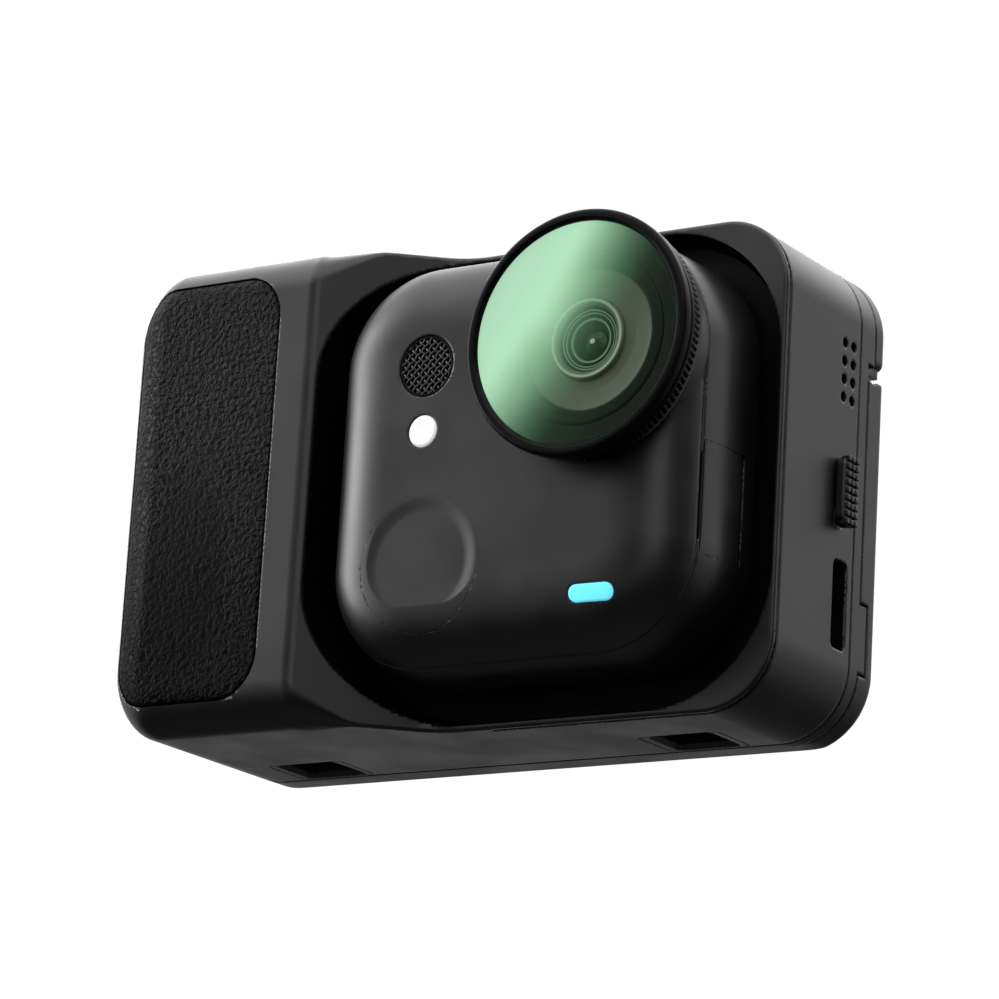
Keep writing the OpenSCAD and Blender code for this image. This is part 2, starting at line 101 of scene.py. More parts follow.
SCREEN_LO, SCREEN_HI = corners("screen_frame")
GLASS_LO, GLASS_HI = corners("screen_glass")
SCREEN_LIP = 1.7
BLOCK_LO, BLOCK_HI = corners("hinge_block_right")
BLOCK_Y, GROOVE_TOP, LIP_REAR = 7.4, 41.85, 9.0
TAB_Z, TAB_DEPTH = (7.6, 15.1), 1.5
ARM_LO, ARM_HI = corners("hinge_knuckle")

CAM_LO, CAM_HI = corners("camera_rear_shell")
FACE_Y = corners("camera_front_shell")[0][1]
CAM_SEAM = CAM_LO[1]
CAM_MID = (CAM_LO[0] + CAM_HI[0]) / 2, (CAM_LO[2] + CAM_HI[2]) / 2
CAM_HALF = (CAM_HI[0] - CAM_LO[0]) / 2, (CAM_HI[2] - CAM_LO[2]) / 2
CAM_R, CAM_EDGE, EDGE_FULLNESS = 12.0, 9.5, 2.7
SHUTTER = middle("shutter_button")
SHUTTER_R = corners("shutter_button")[1][0] - SHUTTER[0]
SHUTTER_REAR = -21.9
DISH, DISH_WALL = 0.18, 2.0
MIC_R, MIC_DEPTH, SPOT_R, BAR_HALF = 3.4, 0.55, 1.82, (2.66, 0.96)
DOOR_LO, DOOR_HI = corners("card_door")
DOOR_WALL, DOOR_REACH, DOOR_EDGE = 1.05, 4, 0.002
DOOR_HINGE = DOOR_HI[0] - 0.6, DOOR_HI[1] - 0.55
DOOR_SWING_GAP = 0.06  # the open door's outer face stands almost this far past its closed edge

LENS = middle("filter_glass")
LENS_HOLE, BOSS_R = 9.46, 11.18
FILTER_LO, FILTER_HI = corners("filter_ring")
FILTER_R = (FILTER_HI[0] - FILTER_LO[0]) / 2
NOTCHES, NOTCH_DEPTH = 112, 0.26
COLLAR_BORE, COLLAR_STEP = 7.86, 0.33
BORE_R, LENS_GAP = 3.56, 0.48
BAFFLES = (3.4, 0), (2.98, 0.05), (2.9, 0.2), (2.4, 0.24), (2.3, 0.4), (1.85, 0.46), (1.7, 1.1), (1.3, 1.2)
HOOPS = (3.22, 0.0, 0.08), (2.92, 0.1, 0.07), (2.33, 0.28, 0.12), (4.12, -0.7, 0.14)


# Distance fields: negative inside, in millimetres

both, either = np.maximum, np.minimum  # the overlap and the union of two fields


def round_max(a, b, r, c=0.0):
    """Both at once, with the shared edge rounded to radius r. c is the cosine between their normals."""
    da, db = a + r, b + r
    arc = np.sqrt(np.maximum(da * da + db * db - 2 * c * da * db, 0) / (1 - c * c)) - r
    return np.where((da > c * db) & (db > c * da), arc, np.maximum(a, b))


def round_min(a, b, r, c=0.0):
    """Either one, with the shared corner filleted to radius r."""
    return -round_max(-a, -b, r, c)


def cut(a, b, r=0):
    """What is left of a once b is taken away, with the new edge rounded to radius r."""
    return round_max(a, -b, r) if r else both(a, -b)


def soft_step(u, width):
    """0 below zero, u above it, with a soft bend of about that width."""
    return width * np.logaddexp(0, u / width)


def rrect(u, v, centre, half, r):
    a = np.abs(u - centre[0]) - (half[0] - r)
    b = np.abs(v - centre[1]) - (half[1] - r)
    return np.hypot(np.maximum(a, 0), np.maximum(b, 0)) + np.minimum(np.maximum(a, b), 0) - r


def disc(u, v, centre, r):
    return np.hypot(u - centre[0], v - centre[1]) - r


def slab(u, lo, hi):
    return np.maximum(lo - u, u - hi)


def smooth(t):
    t = np.clip(t, 0, 1)
    return t * t * (3 - 2 * t)


def pod_outline(p):
    return rrect(p[:, 0], p[:, 2], (0, MID_Z), (HALF_W, MID_Z), POD_R)


def pod_front(x, y):
    """The front of the pod seen from above: grip, ramp and rim in one smooth line."""
    run, rise = RAMP_END - RAMP_START, RIM_Y - GRIP_Y
    length = math.hypot(run, rise)
    ramp = ((x - RAMP_START) * rise - (y - GRIP_Y) * run) / length
    grip = round_max(GRIP_Y - y, ramp, GRIP_BEND, run / length)
    return round_min(grip, RIM_Y - y, RIM_BEND, run / length)


def pod_skin(p):
    """The pod's outside with no openings, open towards the back."""
    x, y, z = p.T
    outline = pod_outline(p)
    taper = (soft_step(BROW_END - x, 0.35) - soft_step(BROW_START - x, 0.35)) / (BROW_END - BROW_START)
    r = RIM_R + (BROW_R - RIM_R) * taper
    dx = np.maximum(-HALF_W + POD_R - x, 0)
    dz = np.maximum(np.abs(z - MID_Z) - (MID_Z - POD_R), 0)
    leftness = dx ** 2 / (dx ** 2 + 0.4 * dz ** 2 + 0.5)
    r = r + (POD_R - BROW_R) * leftness
    return round_max(outline, pod_front(x, y), r)


def bay(p):
    """The room that the camera sits in."""
    x, y, z = p.T
    return round_max(rrect(x, z, (CAM_MID[0], MID_Z), (BAY_HALF, BAY_HALF), BAY_R), y - BAY_FLOOR, 1.5)


def pad_region(p):
    """The grip pad's outline, cut off behind."""
    centre = (PAD_LO[0] + PAD_HI[0]) / 2, (PAD_LO[2] + PAD_HI[2]) / 2
    half = (PAD_HI[0] - PAD_LO[0]) / 2, (PAD_HI[2] - PAD_LO[2]) / 2
    return both(rrect(p[:, 0], p[:, 2], centre, half, PAD_R), p[:, 1] - PAD_REAR)


def side_openings(p):
    """The USB port, the slider's slot and the speaker holes."""
    x, y, z = p.T
    usb, slider = middle("usb_c_socket"), middle("release_slider")
    out = either(rrect(y, z, usb[1:], USB_HALF, USB_R),
                 rrect(y, z, (slider[1], slider[2] - SLOT_DROP), SLOT_HALF, SLOT_R))
    for row in SPEAKER_Y:
        for height in SPEAKER_Z:
            out = either(out, disc(y, z, (row, height), SPEAKER_R))
    return both(out, HALF_W - SIDE_DEPTH - x)


def screw_rods(p, r):
    """Rods through the four screw posts."""
    z = p[:, 2]
    near = np.where(z < MID_Z, POST_Z[0], POST_Z[1])
    return np.hypot(np.abs(p[:, 0]) - POST_X, z - near) - r


def pod_cavity(p, skin):
    """The hollow that holds the battery, the board and the speaker."""
    x, y, _ = p.T
    grip = both(skin + GRIP_WALL, x - DIVIDER[1])
    frame_room = both(pod_outline(p) + FRAME_WALL, both(BAY_FLOOR + BAY_WALL - y, DIVIDER[0] - x))
    return cut(either(grip, frame_room), screw_rods(p, POST_R))


def top_holes(p):
    """Holes for the two top buttons, with room below for their flanges to sink."""
    x, y, z = p.T
    out = np.full(len(p), 9.0)
    for node in ("record_button", "quick_button"):
        at, (lo, hi) = middle(node), corners(node)
        r = hi[0] - at[0] - FLANGE
        hole = both(disc(x, y, at, r + 0.1), POD_HI[2] - TOP_DEPTH - z)
        travel = both(disc(x, y, at, r + 0.75), slab(z, lo[2] - BUTTON_TRAVEL, lo[2] + FLANGE_H))
        out = either(out, either(hole, travel))
    return out


def socket_holes(p):
    x, y, z = p.T
    half = SOCKET_HALF[0] + 0.05, SOCKET_HALF[1] + 0.05
    return both(rrect(np.abs(x), y, (SOCKET_X, 0), half, 0.35), z - 3)


def pod_front_field(p):
    x, y, _ = p.T
    skin = pod_skin(p)
    out = round_max(skin, y - SEAM_Y + GAP / 2, 0.15)
    pocket = both(pad_region(p) - 0.08, -skin - PAD_DEPTH)
    groove = cut(np.abs(y - RIM_Y - 0.8) - 0.2, pod_outline(p) + 0.2)
    for hole, r in ((bay(p), 0.15), (pocket, 0), (side_openings(p), 0.1), (top_holes(p), 0.2),
                    (socket_holes(p), 0.1), (both(groove, 6 - x), 0.1), (pod_cavity(p, skin), 0)):
        out = cut(out, hole, r)
    return out


def pod_rear_field(p):
    """The rear housing: low behind the screen, higher under the hinge, with screw holes."""
    x, y, z = p.T
    low = y - SCREEN_LO[1] + GAP
    top = both(y - BLOCK_Y + GAP, GROOVE_TOP - z)
    tab = both(y - SCREEN_LO[1] - TAB_DEPTH, both(slab(z, *TAB_Z), HALF_W - 1.4 - x))
    depth = either(either(low, top), tab)
    scoop = both(np.abs(x) - BLOCK_LO[0], BLOCK_Y - 0.2 - y)
    scoop = both(scoop, SCREEN_HI[2] - z)
    out = round_max(pod_outline(p), both(depth, SEAM_Y + GAP / 2 - y), 0.15)
    out = cut(out, scoop, 0.1)
    out = cut(out, both(screw_rods(p, HEAD_R), 4.7 - y), 0.1)
    return cut(out, screw_rods(p, THREAD_R))


def screen_frame_field(p):
    """The screen's tray, with a channel along its top for the hinge and a notch over the housing's tab."""
    x, y, z = p.T
    outline = round_max(pod_outline(p), SCREEN_LO[2] - z, 0.4)
    out = round_max(outline, y - SCREEN_HI[1], 1.4)
    out = round_max(out, SCREEN_LO[1] - y, 0.15)
    top = z - SCREEN_HI[2] - 0.35 * smooth((y - SCREEN_LO[1]) / 3)
    out = round_max(out, both(top, z - SCREEN_HI[2]), 0.3)
    channel = disc(y, z, (SCREEN_LO[1] + 1.2, SCREEN_HI[2] + 0.9), 1.3)
    out = cut(out, channel, 0.2)
    window = rrect(x, z, (0, MID_Z), (HALF_W - SCREEN_LIP, MID_Z - SCREEN_LIP), POD_R - SCREEN_LIP)
    window = both(window, z - SCREEN_HI[2] + SCREEN_LIP)
    window = both(window, both(SCREEN_LIP - z, SCREEN_LO[1] + 1.25 - y))
    out = cut(out, window, 0.12)
    notch = both(slab(z, TAB_Z[0] - 0.2, TAB_Z[1] + 0.2), HALF_W - 1.6 - x)
    notch = both(notch, y - SCREEN_LO[1] - TAB_DEPTH - 0.25)
    return cut(out, notch, 0.12)


def hinge_block_field(p):
    """Both fixed blocks beside the hinge arm, with the lip that closes the groove below them."""
    x, y, z = p.T
    out = round_max(pod_outline(p), y - BLOCK_HI[1], 1.4)
    out = round_max(out, GROOVE_TOP - z, 0.9)
    out = round_max(out, BLOCK_Y - y, 0.15)
    lip = round_max(y - LIP_REAR, both(BLOCK_LO[2] - z, np.abs(x) - HALF_W + 0.5), 0.2)
    lip = both(lip, both(BLOCK_LO[1] - y, z - GROOVE_TOP - 0.1))
    lip = both(lip, either(z - GROOVE_TOP + 0.05, BLOCK_Y - y))
    return round_max(either(out, lip), BLOCK_LO[0] - np.abs(x), 0.15)


def knuckle_field(p):
    """The arm between the screen and the hinge, with its round barrel."""
    x, y, z = p.T
    r = (ARM_HI[1] - ARM_LO[1]) / 2
    axis = (ARM_LO[1] + ARM_HI[1]) / 2, ARM_HI[2] - r
    arm = both(np.abs(y - axis[0]) - r, slab(z, ARM_LO[2], axis[1]))
    arm = either(disc(y, z, axis, r), arm)
    out = round_max(arm, np.abs(x) - ARM_HI[0], 0.35)
    for at in (-ARM_HI[0] + 2.2, ARM_HI[0] - 2.2):
        ring = cut(np.abs(x - at) - 0.12, arm + 0.2)
        out = cut(out, ring)
    return cut(out, disc(y, z, axis, 0.8))


def screen_glass_field(p):
    x, y, z = p.T
    half = (GLASS_HI[0] - GLASS_LO[0]) / 2
    top = round_max(rrect(x, z, (0, MID_Z), (half, MID_Z - GLASS_LO[2]), POD_R - 1.8), z - GLASS_HI[2], 1.2)
    out = round_max(top, y - GLASS_HI[1], 0.35)
    return round_max(out, GLASS_LO[1] - y, 0.05)


def pad_field(p):
    """The grip pad: a skin that follows the pod's front."""
    skin = pod_skin(p) + 0.02
    out = round_max(skin, pad_region(p) + 0.02, 0.35)
    return cut(out, skin + 0.95)


def sockets_field(p):
    """Two square cups in the base with flared mouths."""
    x, y, z = p.T
    outer = rrect(np.abs(x), y, (SOCKET_X, 0), SOCKET_HALF, 0.3)
    inner = rrect(np.abs(x), y, (SOCKET_X, 0), SOCKET_BORE, 0.25)
    flare = both(inner - 0.45 + 0.9 * z, z - 0.5)
    out = round_max(outer, slab(z, 0, 6.4), 0.08)
    out = cut(out, both(inner, z - 5.4))
    return cut(out, flare)


def light_bar_field(p):
    x, y, z = p.T
    lo, hi = corners("light_bar")
    outline = rrect(x, z, middle("light_bar")[::2], (hi - lo)[::2] / 2, 0.88)
    out = round_max(outline, camera_skin(p), 0.15)
    return both(out, y - hi[1])


def camera_skin(p):
    """The camera's outside: a soft block with a full, superelliptic front edge and a boss round the lens."""
    x, y, z = p.T
    outline = rrect(x, z, CAM_MID, CAM_HALF, CAM_R)
    a, b = np.maximum(outline + CAM_EDGE, 1e-6), np.maximum(FACE_Y - y + CAM_EDGE, 1e-6)
    full = (a ** EDGE_FULLNESS + b ** EDGE_FULLNESS) ** (1 / EDGE_FULLNESS) - CAM_EDGE
    body = np.where((a > 1e-5) & (b > 1e-5), full, both(outline, FACE_Y - y))
    body = round_max(body, y - CAM_HI[1], 2.0)
    boss = round_max(disc(x, z, LENS[::2], BOSS_R), slab(y, FACE_Y, CAM_SEAM - 0.2), 0.5)
    return round_min(body, boss, 0.35)


def camera_front_field(p):
    """The front shell with holes for the lens, shutter, microphone, indicator and light bar."""
    x, y, z = p.T
    skin = camera_skin(p)
    out = round_max(skin, y - CAM_SEAM + 0.1, 0.12)
    mic, spot, bar = (middle(node)[::2] for node in ("mic_mesh", "indicator_lens", "light_bar"))
    pocket = both(disc(x, z, mic, MIC_R), y - FACE_Y - MIC_DEPTH)
    lens, button_hole = disc(x, z, LENS[::2], LENS_HOLE), disc(x, z, SHUTTER[::2], SHUTTER_R + 0.01)
    lamp, slot = disc(x, z, spot, SPOT_R), rrect(x, z, bar, BAR_HALF, 0.95)
    for hole, r in ((lens, 0.2), (button_hole, 0), (pocket, 0.12), (lamp, 0.08), (slot, 0.08),
                    (skin + CAMERA_WALL, 0)):
        out = cut(out, hole, r)
    return out


def camera_rear_field(p):
    """The rear shell with the card door's window and the nail notch beside it."""
    x, y, z = p.T
    skin = camera_skin(p)
    out = round_max(skin, CAM_SEAM - y, 0.12)
    door = both(slab(z, DOOR_LO[2] - DOOR_EDGE, DOOR_HI[2] + DOOR_EDGE),
                slab(y, DOOR_LO[1] - DOOR_EDGE, DOOR_HI[1] + DOOR_SWING_GAP))
    out = cut(out, both(door, CAM_HI[0] - DOOR_REACH - x))
    nail = both(slab(z, DOOR_LO[2] + 1.4, DOOR_HI[2] - 1.4), y - DOOR_LO[1] + 0.15)
    out = cut(out, both(nail, CAM_HI[0] - 1.7 - x), 0.1)
    return cut(out, skin + CAMERA_WALL)


def card_door_field(p):
    """A piece of the camera's wall, rounded about its hinge so that it can swing."""
    x, y, z = p.T
    skin = camera_skin(p)
    sides = both(slab(z, DOOR_LO[2], DOOR_HI[2]), slab(y, DOOR_LO[1], DOOR_HI[1]))
    out = cut(both(skin, sides), skin + DOOR_WALL)
    out = both(out, CAM_HI[0] - DOOR_REACH - x)
    return both(out, either(disc(x, y, DOOR_HINGE, 0.54), y - DOOR_HINGE[1]))


def shutter_field(p):
    """The round button: a flat dish whose soft wall rises to the camera's face."""
    x, y, z = p.T
    r = np.hypot(x - SHUTTER[0], z - SHUTTER[2])
    bowl = FACE_Y + DISH * (1 - smooth((r - SHUTTER_R + DISH_WALL) / (DISH_WALL - 0.05))) - y
    out = round_max(camera_skin(p), bowl, 1.0, 0.985)
    return both(both(out, r - SHUTTER_R), y - SHUTTER_REAR)


def slider_field(p):
    """A cap with three columns of nine studs, and the stem that runs in the slot."""
    x, y, z = p.T
    lo, hi = corners("release_slider")
    at = (lo + hi) / 2
    outline = rrect(y, z, at[1:], (hi - lo)[1:] / 2, 1.2)
    cap = round_max(outline, both(x - hi[0] + 0.35, HALF_W + 0.06 - x), 0.3)
    stem = both(rrect(y, z, at[1:], (0.85, 1.6), 0.1), slab(x, lo[0], HALF_W + 0.3))
    pitch = 0.86
    column = np.clip(np.round((y - at[1]) / pitch), -1, 1)
    row = np.clip(np.round((z - at[2]) / pitch), -4, 4)
    stud = rrect(y - at[1] - column * pitch, z - at[2] - row * pitch, (0, 0), (0.3, 0.3), 0.12)
    stud = round_max(stud, both(x - hi[0], hi[0] - 1 - x), 0.12)
    return either(either(cap, stem), stud)


# Meshing

def unit(vectors):
    return vectors / np.maximum(np.linalg.norm(vectors, axis=1), 1e-9)[:, None]


def gradient(field, p, step=0.02):
    g = np.empty_like(p)
    for k in range(3):
        d = np.zeros(3)
        d[k] = step
        g[:, k] = (field(p + d) - field(p - d)) / (2 * step)
    return g


def sample(field, lo, hi, h):
    """Field values on a grid. Far from the surface only one value is worked out per block of cells."""
    block = 6
    n = (np.ceil((hi - lo) / (h * block)).astype(int) + 1) * block
    axes = [lo[k] + h * np.arange(n[k] + 1) for k in range(3)]
    coarse = [lo[k] + h * block * (np.arange(n[k] // block) + 0.5) for k in range(3)]
    grid = np.stack(np.meshgrid(*coarse, indexing="ij"), -1)
    value = field(grid.reshape(-1, 3)).reshape(grid.shape[:3])
    near = np.abs(value) < h * block * 0.95
    full = np.repeat(np.repeat(np.repeat(value, block, 0), block, 1), block, 2)
    full = np.pad(full, ((0, 1),) * 3, mode="edge")
    mark = np.zeros(full.shape, bool)
    for cell in np.argwhere(near):
        mark[tuple(slice(i * block, (i + 1) * block + 1) for i in cell)] = True
    at = np.argwhere(mark)
    points = np.stack([axes[k][at[:, k]] for k in range(3)], -1)
    full[mark] = field(points)
    return full, axes


def crossings(field, value, axes, h, axis):
    """Grid edges along axis that cross the surface: their low ends, and the crossing points and normals."""
    lead, rear = [slice(None)] * 3, [slice(None)] * 3
    lead[axis], rear[axis] = slice(0, -1), slice(1, None)
    start = np.argwhere((value[tuple(lead)] < 0) != (value[tuple(rear)] < 0))
    end = start.copy()
    end[:, axis] += 1
    v0, v1 = value[tuple(start.T)], value[tuple(end.T)]
    point = np.stack([axes[k][start[:, k]] for k in range(3)], -1)
    point[:, axis] += h * v0 / (v0 - v1)
    return start, v0 < 0, point, unit(gradient(field, point))


def surface(field, lo, hi, h):
    """Vertices and quads of the field's zero surface, by dual contouring, which keeps edges crisp."""
    value, axes = sample(field, np.asarray(lo, float), np.asarray(hi, float), h)
    inside = value < 0
    cells = np.array(value.shape) - 1
    count = np.zeros(cells, np.int8)
    for i, j, k in np.ndindex(2, 2, 2):
        count += inside[i:i + cells[0], j:j + cells[1], k:k + cells[2]]
    mixed = (count > 0) & (count < 8)
    where = np.argwhere(mixed)
    index = np.full(cells, -1, np.int64)
    index[mixed] = np.arange(len(where))
    sums = np.zeros((13, len(where)))
    quads = []
    for axis in range(3):
        start, first_in, point, normal = crossings(field, value, axes, h, axis)
        u, v = [k for k in range(3) if k != axis]
        keep = (start[:, u] > 0) & (start[:, v] > 0) & (start[:, u] < cells[u]) & (start[:, v] < cells[v])
        start, first_in, point, normal = start[keep], first_in[keep], point[keep], normal[keep]
        plane = (normal * point).sum(1)
        products = [normal[:, i] * normal[:, j] for i in range(3) for j in range(i, 3)]
        rows = [np.ones(len(point)), *point.T, *products, *(normal[:, i] * plane for i in range(3))]
        ring = []
        for du, dv in ((1, 1), (0, 1), (0, 0), (1, 0)):
            cell = start.copy()
            cell[:, u] -= du
            cell[:, v] -= dv
            at = index[tuple(cell.T)]
            ring.append(at)
            for k, row in enumerate(rows):
                sums[k] += np.bincount(at, row, len(where))
        quad = np.stack(ring, -1)
        backward = first_in if axis == 1 else ~first_in
        quad[backward] = quad[backward][:, ::-1]
        quads.append(quad)
    return sharp_points(sums, where, axes, h), np.concatenate(quads)


def sharp_points(sums, where, axes, h, hold=0.06):
    """The point of each cell that best fits the planes through its crossings."""
    centre = (sums[1:4] / sums[0]).T
    matrix = np.empty((len(centre), 3, 3))
    for k, (i, j) in enumerate((i, j) for i in range(3) for j in range(i, 3)):
        matrix[:, i, j] = matrix[:, j, i] = sums[4 + k]
    right = sums[10:13].T - np.einsum("nij,nj->ni", matrix, centre)
    matrix += hold * np.eye(3)
    move = np.linalg.solve(matrix, right[:, :, None])[:, :, 0]
    low = np.array([axes[k][0] for k in range(3)]) + h * where
    return np.clip(centre + move, low, low + h)


def settle(field, verts, reach, rounds=4):
    """Pulls the vertices onto the zero surface, each by no more than reach."""
    home = verts.copy()
    for _ in range(rounds):
        g = gradient(field, verts)
        size = np.maximum((g ** 2).sum(1), 0.2)
        verts = verts - (field(verts) / size)[:, None] * g
        verts = home + np.clip(verts - home, -reach, reach)
    return verts


def mesh_object(name, verts, faces):
    mesh = bpy.data.meshes.new(name)
    mesh.from_pydata((np.asarray(verts) * MM).tolist(), [], [list(map(int, f)) for f in faces])
    mesh.validate()
    mesh.shade_smooth()
    obj = bpy.data.objects.new(name, mesh)
    bpy.context.scene.collection.objects.link(obj)
    return obj


def read_points(mesh):
    co = np.zeros(len(mesh.vertices) * 3, np.float32)
    mesh.vertices.foreach_get("co", co)
    return co.reshape(-1, 3).astype(float)


def baked(obj):
    """Applies obj's modifiers to its mesh."""
    graph = bpy.context.evaluated_depsgraph_get()
    mesh = bpy.data.meshes.new_from_object(obj.evaluated_get(graph))
    obj.modifiers.clear()
    obj.data = mesh
    return obj


def corner_normals(field, mesh, inward=0.06, crease=20):
    """The field's normals at each face's corners. Across a crease they are read just inside the face."""
    points = read_points(mesh) / MM
    corner = np.zeros(len(mesh.loops), np.int32)
    mesh.loops.foreach_get("vertex_index", corner)
    count = np.zeros(len(mesh.polygons), np.int32)
    mesh.polygons.foreach_get("loop_total", count)
    owner = np.repeat(np.arange(len(count)), count)
    at = points[corner]
    centre = np.stack([np.bincount(owner, at[:, k]) for k in range(3)], -1) / count[:, None]
    shared = unit(gradient(field, points))[corner]
    own = unit(gradient(field, at + unit(centre[owner] - at) * inward))
    return np.where(((shared * own).sum(1) < math.cos(math.radians(crease)))[:, None], own, shared)


def field_object(name, field, lo, hi, h, keep, shape=None):
    """One piece meshed from a field, thinned out where it is flat, with true surface normals."""
    pad = 3 * h
    verts, quads = surface(field, np.asarray(lo) - pad, np.asarray(hi) + pad, h)
    verts = settle(field, verts, 0.6 * h)
    if shape:
        verts = shape(verts)
    obj = mesh_object(name, verts, quads)
    if keep < 1:
        thin = obj.modifiers.new("thin", "DECIMATE")
        thin.ratio = keep
        baked(obj)
    mesh = obj.data
    points = read_points(mesh) / MM
    if not shape:
        points = settle(field, points, 0.3 * h, 2)
        mesh.vertices.foreach_set("co", (points * MM).astype(np.float32).ravel())
        mesh.shade_smooth()
        mesh.normals_split_custom_set(corner_normals(field, mesh).tolist())
    mesh.update()
    return obj


# Turned pieces

def fillet_profile(points):
    """Corners (radius, height, fillet) of a section, walked with its solid on the left.
    Gives each point of the smooth line with its outward normal."""
    out = []
    for i, (u, v, r) in enumerate(points):
        before, after = points[i - 1], points[(i + 1) % len(points)]
        way_in, way_out = complex(u - before[0], v - before[1]), complex(after[0] - u, after[1] - v)
        if u == 0:
            way = way_out if way_out and after[0] > 0 else way_in
            side = -1j * way / abs(way)
            out.append((u, v, side.real, side.imag))
            continue
        way_in /= abs(way_in)
        turn = cmath.phase(way_out / way_in)
        bend = math.copysign(r, turn)
        centre = complex(u, v) - way_in * abs(r * math.tan(turn / 2)) + 1j * way_in * bend
        steps = max(2, int(abs(turn) / 0.22))
        for k in range(steps + 1):
            side = -1j * way_in * cmath.rect(1, turn * k / steps)
            at = centre + side * bend
            out.append((at.real, at.imag, side.real, side.imag))
    return out


def dome(reach, depth, y, steps=14, back=False):
    """Points of a shallow dome from the axis out, or from the rim back to the axis."""
    radius = (reach ** 2 + depth ** 2) / (2 * depth)
    top = math.asin(reach / radius)
    angles = [top * k / steps for k in range(steps + 1)]
    line = [(radius * math.sin(a), y + radius * (1 - math.cos(a)), math.sin(a), -math.cos(a)) for a in angles]
    if back:
        line = [(u, v, -nu, -nv) for u, v, nu, nv in line][::-1]
    return line


def turned(name, profile, at, axis="y", segments=192, warp=None):
    """A solid of revolution about a line parallel to axis through at."""
    angles = [2 * math.pi * k / segments for k in range(segments)]
    verts, normals, rings = [], [], []
    for u, v, nu, nv in profile:
        on_axis = u <= 1e-6
        ring = [0.0] if on_axis else angles
        rings.append(range(len(verts), len(verts) + len(ring)))
        for a in ring:
            r = warp(u, v, a) if warp and not on_axis else u
            c, s = math.cos(a), math.sin(a)
            verts.append((r * c, v, r * s) if axis == "y" else (r * c, r * s, v))
            normals.append((nu * c, nv, nu * s) if axis == "y" else (nu * c, nu * s, nv))
    faces = []
    for a, b in zip(rings, rings[1:] + rings[:1]):
        for k in range(segments if len(a) + len(b) > 2 else 0):
            m = (k + 1) % segments
            face = [a[k % len(a)], b[k % len(b)], b[m % len(b)], a[m % len(a)]]
            faces.append(list(dict.fromkeys(face if axis == "y" else face[::-1])))
    offset = (at[0], 0, at[2]) if axis == "y" else (at[0], at[1], 0)
    obj = mesh_object(name, np.array(verts) + offset, faces)
    if warp is None:
        obj.data.normals_split_custom_set_from_vertices(normals)
    return obj


def round_size(node):
    """Radius, front and rear of a round CAD node that lies along Y."""
    lo, hi = corners(node)
    return (hi[0] - lo[0]) / 2, lo[1], hi[1]


def knurl(u, v, a):
    """Short slanted notches round the filter's grip band."""
    lo, hi = FILTER_HI[1] - 1.75, FILTER_HI[1] - 0.55
    band = smooth((v - lo) / 0.25) * smooth((hi - v) / 0.25)
    if u < FILTER_R - 0.9 or band <= 0:
        return u
    wave = 0.5 + 0.5 * math.cos(NOTCHES * a + 3.0 * (v - lo))
    return u - NOTCH_DEPTH * float(band) * wave ** 2


def filter_ring():
    """The threaded ring with its stepped front and knurled band."""
    front, rear = FILTER_LO[1], FILTER_HI[1]
    band = [(12.86, rear - 2.05 + 0.25 * k, 0.03) for k in range(8)]
    points = [
        (12.42, front, 0.12), (FILTER_R, front, 0.55), (FILTER_R, front + 1.3, 0.2),
        (13.02, front + 1.42, 0.08), (13.02, front + 1.62, 0.08), (13.22, front + 1.72, 0.15),
        (13.22, front + 2.2, 0.12), (12.86, front + 2.26, 0.05), *band,
        (12.86, rear - 0.12, 0.1), (12.5, rear, 0.1), (9.47, rear, 0.15), (9.47, front + 2.4, 0.1),
        (12.1, front + 2.4, 0.1), (12.1, front + 0.32, 0.05)]
    return turned("filter_ring.shape", fillet_profile(points), LENS, segments=NOTCHES * 6, warp=knurl)


def lens_profiles():
    """Sections of the glass and rings round the lens axis, by the CAD node that each stands for."""
    r, front, rear = round_size("filter_glass")
    made = {"filter_glass": [(0, front, 0), (r, front, 0.12), (r, rear, 0.12), (0, rear, 0)]}
    r, front, rear = round_size("filter_retaining_ring")
    made["filter_retaining_ring"] = [
        (r - 0.72, front, 0.1), (r, front, 0.06), (r, rear, 0.06), (r - 0.78, rear, 0.1)]
    r, front, rear = round_size("lens_collar")
    r, step = r - 0.35, rear - 1.2
    made["lens_collar"] = [
        (COLLAR_BORE, front + 0.25, 0.1), (8.15, front, 0.1), (r, front, 0.25), (r, step, 0.05),
        (r + COLLAR_STEP, step, 0.1), (r + COLLAR_STEP, rear, 0.1), (COLLAR_BORE, rear, 0.1)]
    _, front, rear = round_size("lens_barrel")
    face = front + 0.5
    made["lens_barrel"] = [
        (BORE_R, front + 0.28, 0.05), (3.78, front + 0.02, 0.12), (4.43, front, 0.2), (4.5, face, 0.12),
        (5.6, face + 0.1, 0.4), (7.0, face + 0.06, 0.4), (7.8, face, 0.28), (7.8, face + 7.04, 0.2),
        (6, face + 7.05, 0.1), (6, rear, 0.1), (BORE_R, rear, 0.1)]
    made = {node: fillet_profile(points) for node, points in made.items()}
    _, front, _ = round_size("lens_front_element")
    made["lens_front_element"] = dome(3.48, 0.25, front) + dome(3.4, 0.2, front + 0.2, back=True)
    _, front, rear = round_size("lens_rear_element")
    made["lens_rear_element"] = dome(3.3, 0.6, front) + fillet_profile(
        [(3.3, front + 0.6, 0.05), (3.5, front + 0.7, 0.05), (3.5, rear, 0.1), (0, rear, 0)])[3:]
    return made


def bead(reach, depth, front, rear):
    return dome(reach, depth, front) + [(reach, rear, 0, 1), (0, rear, 0, 1)]


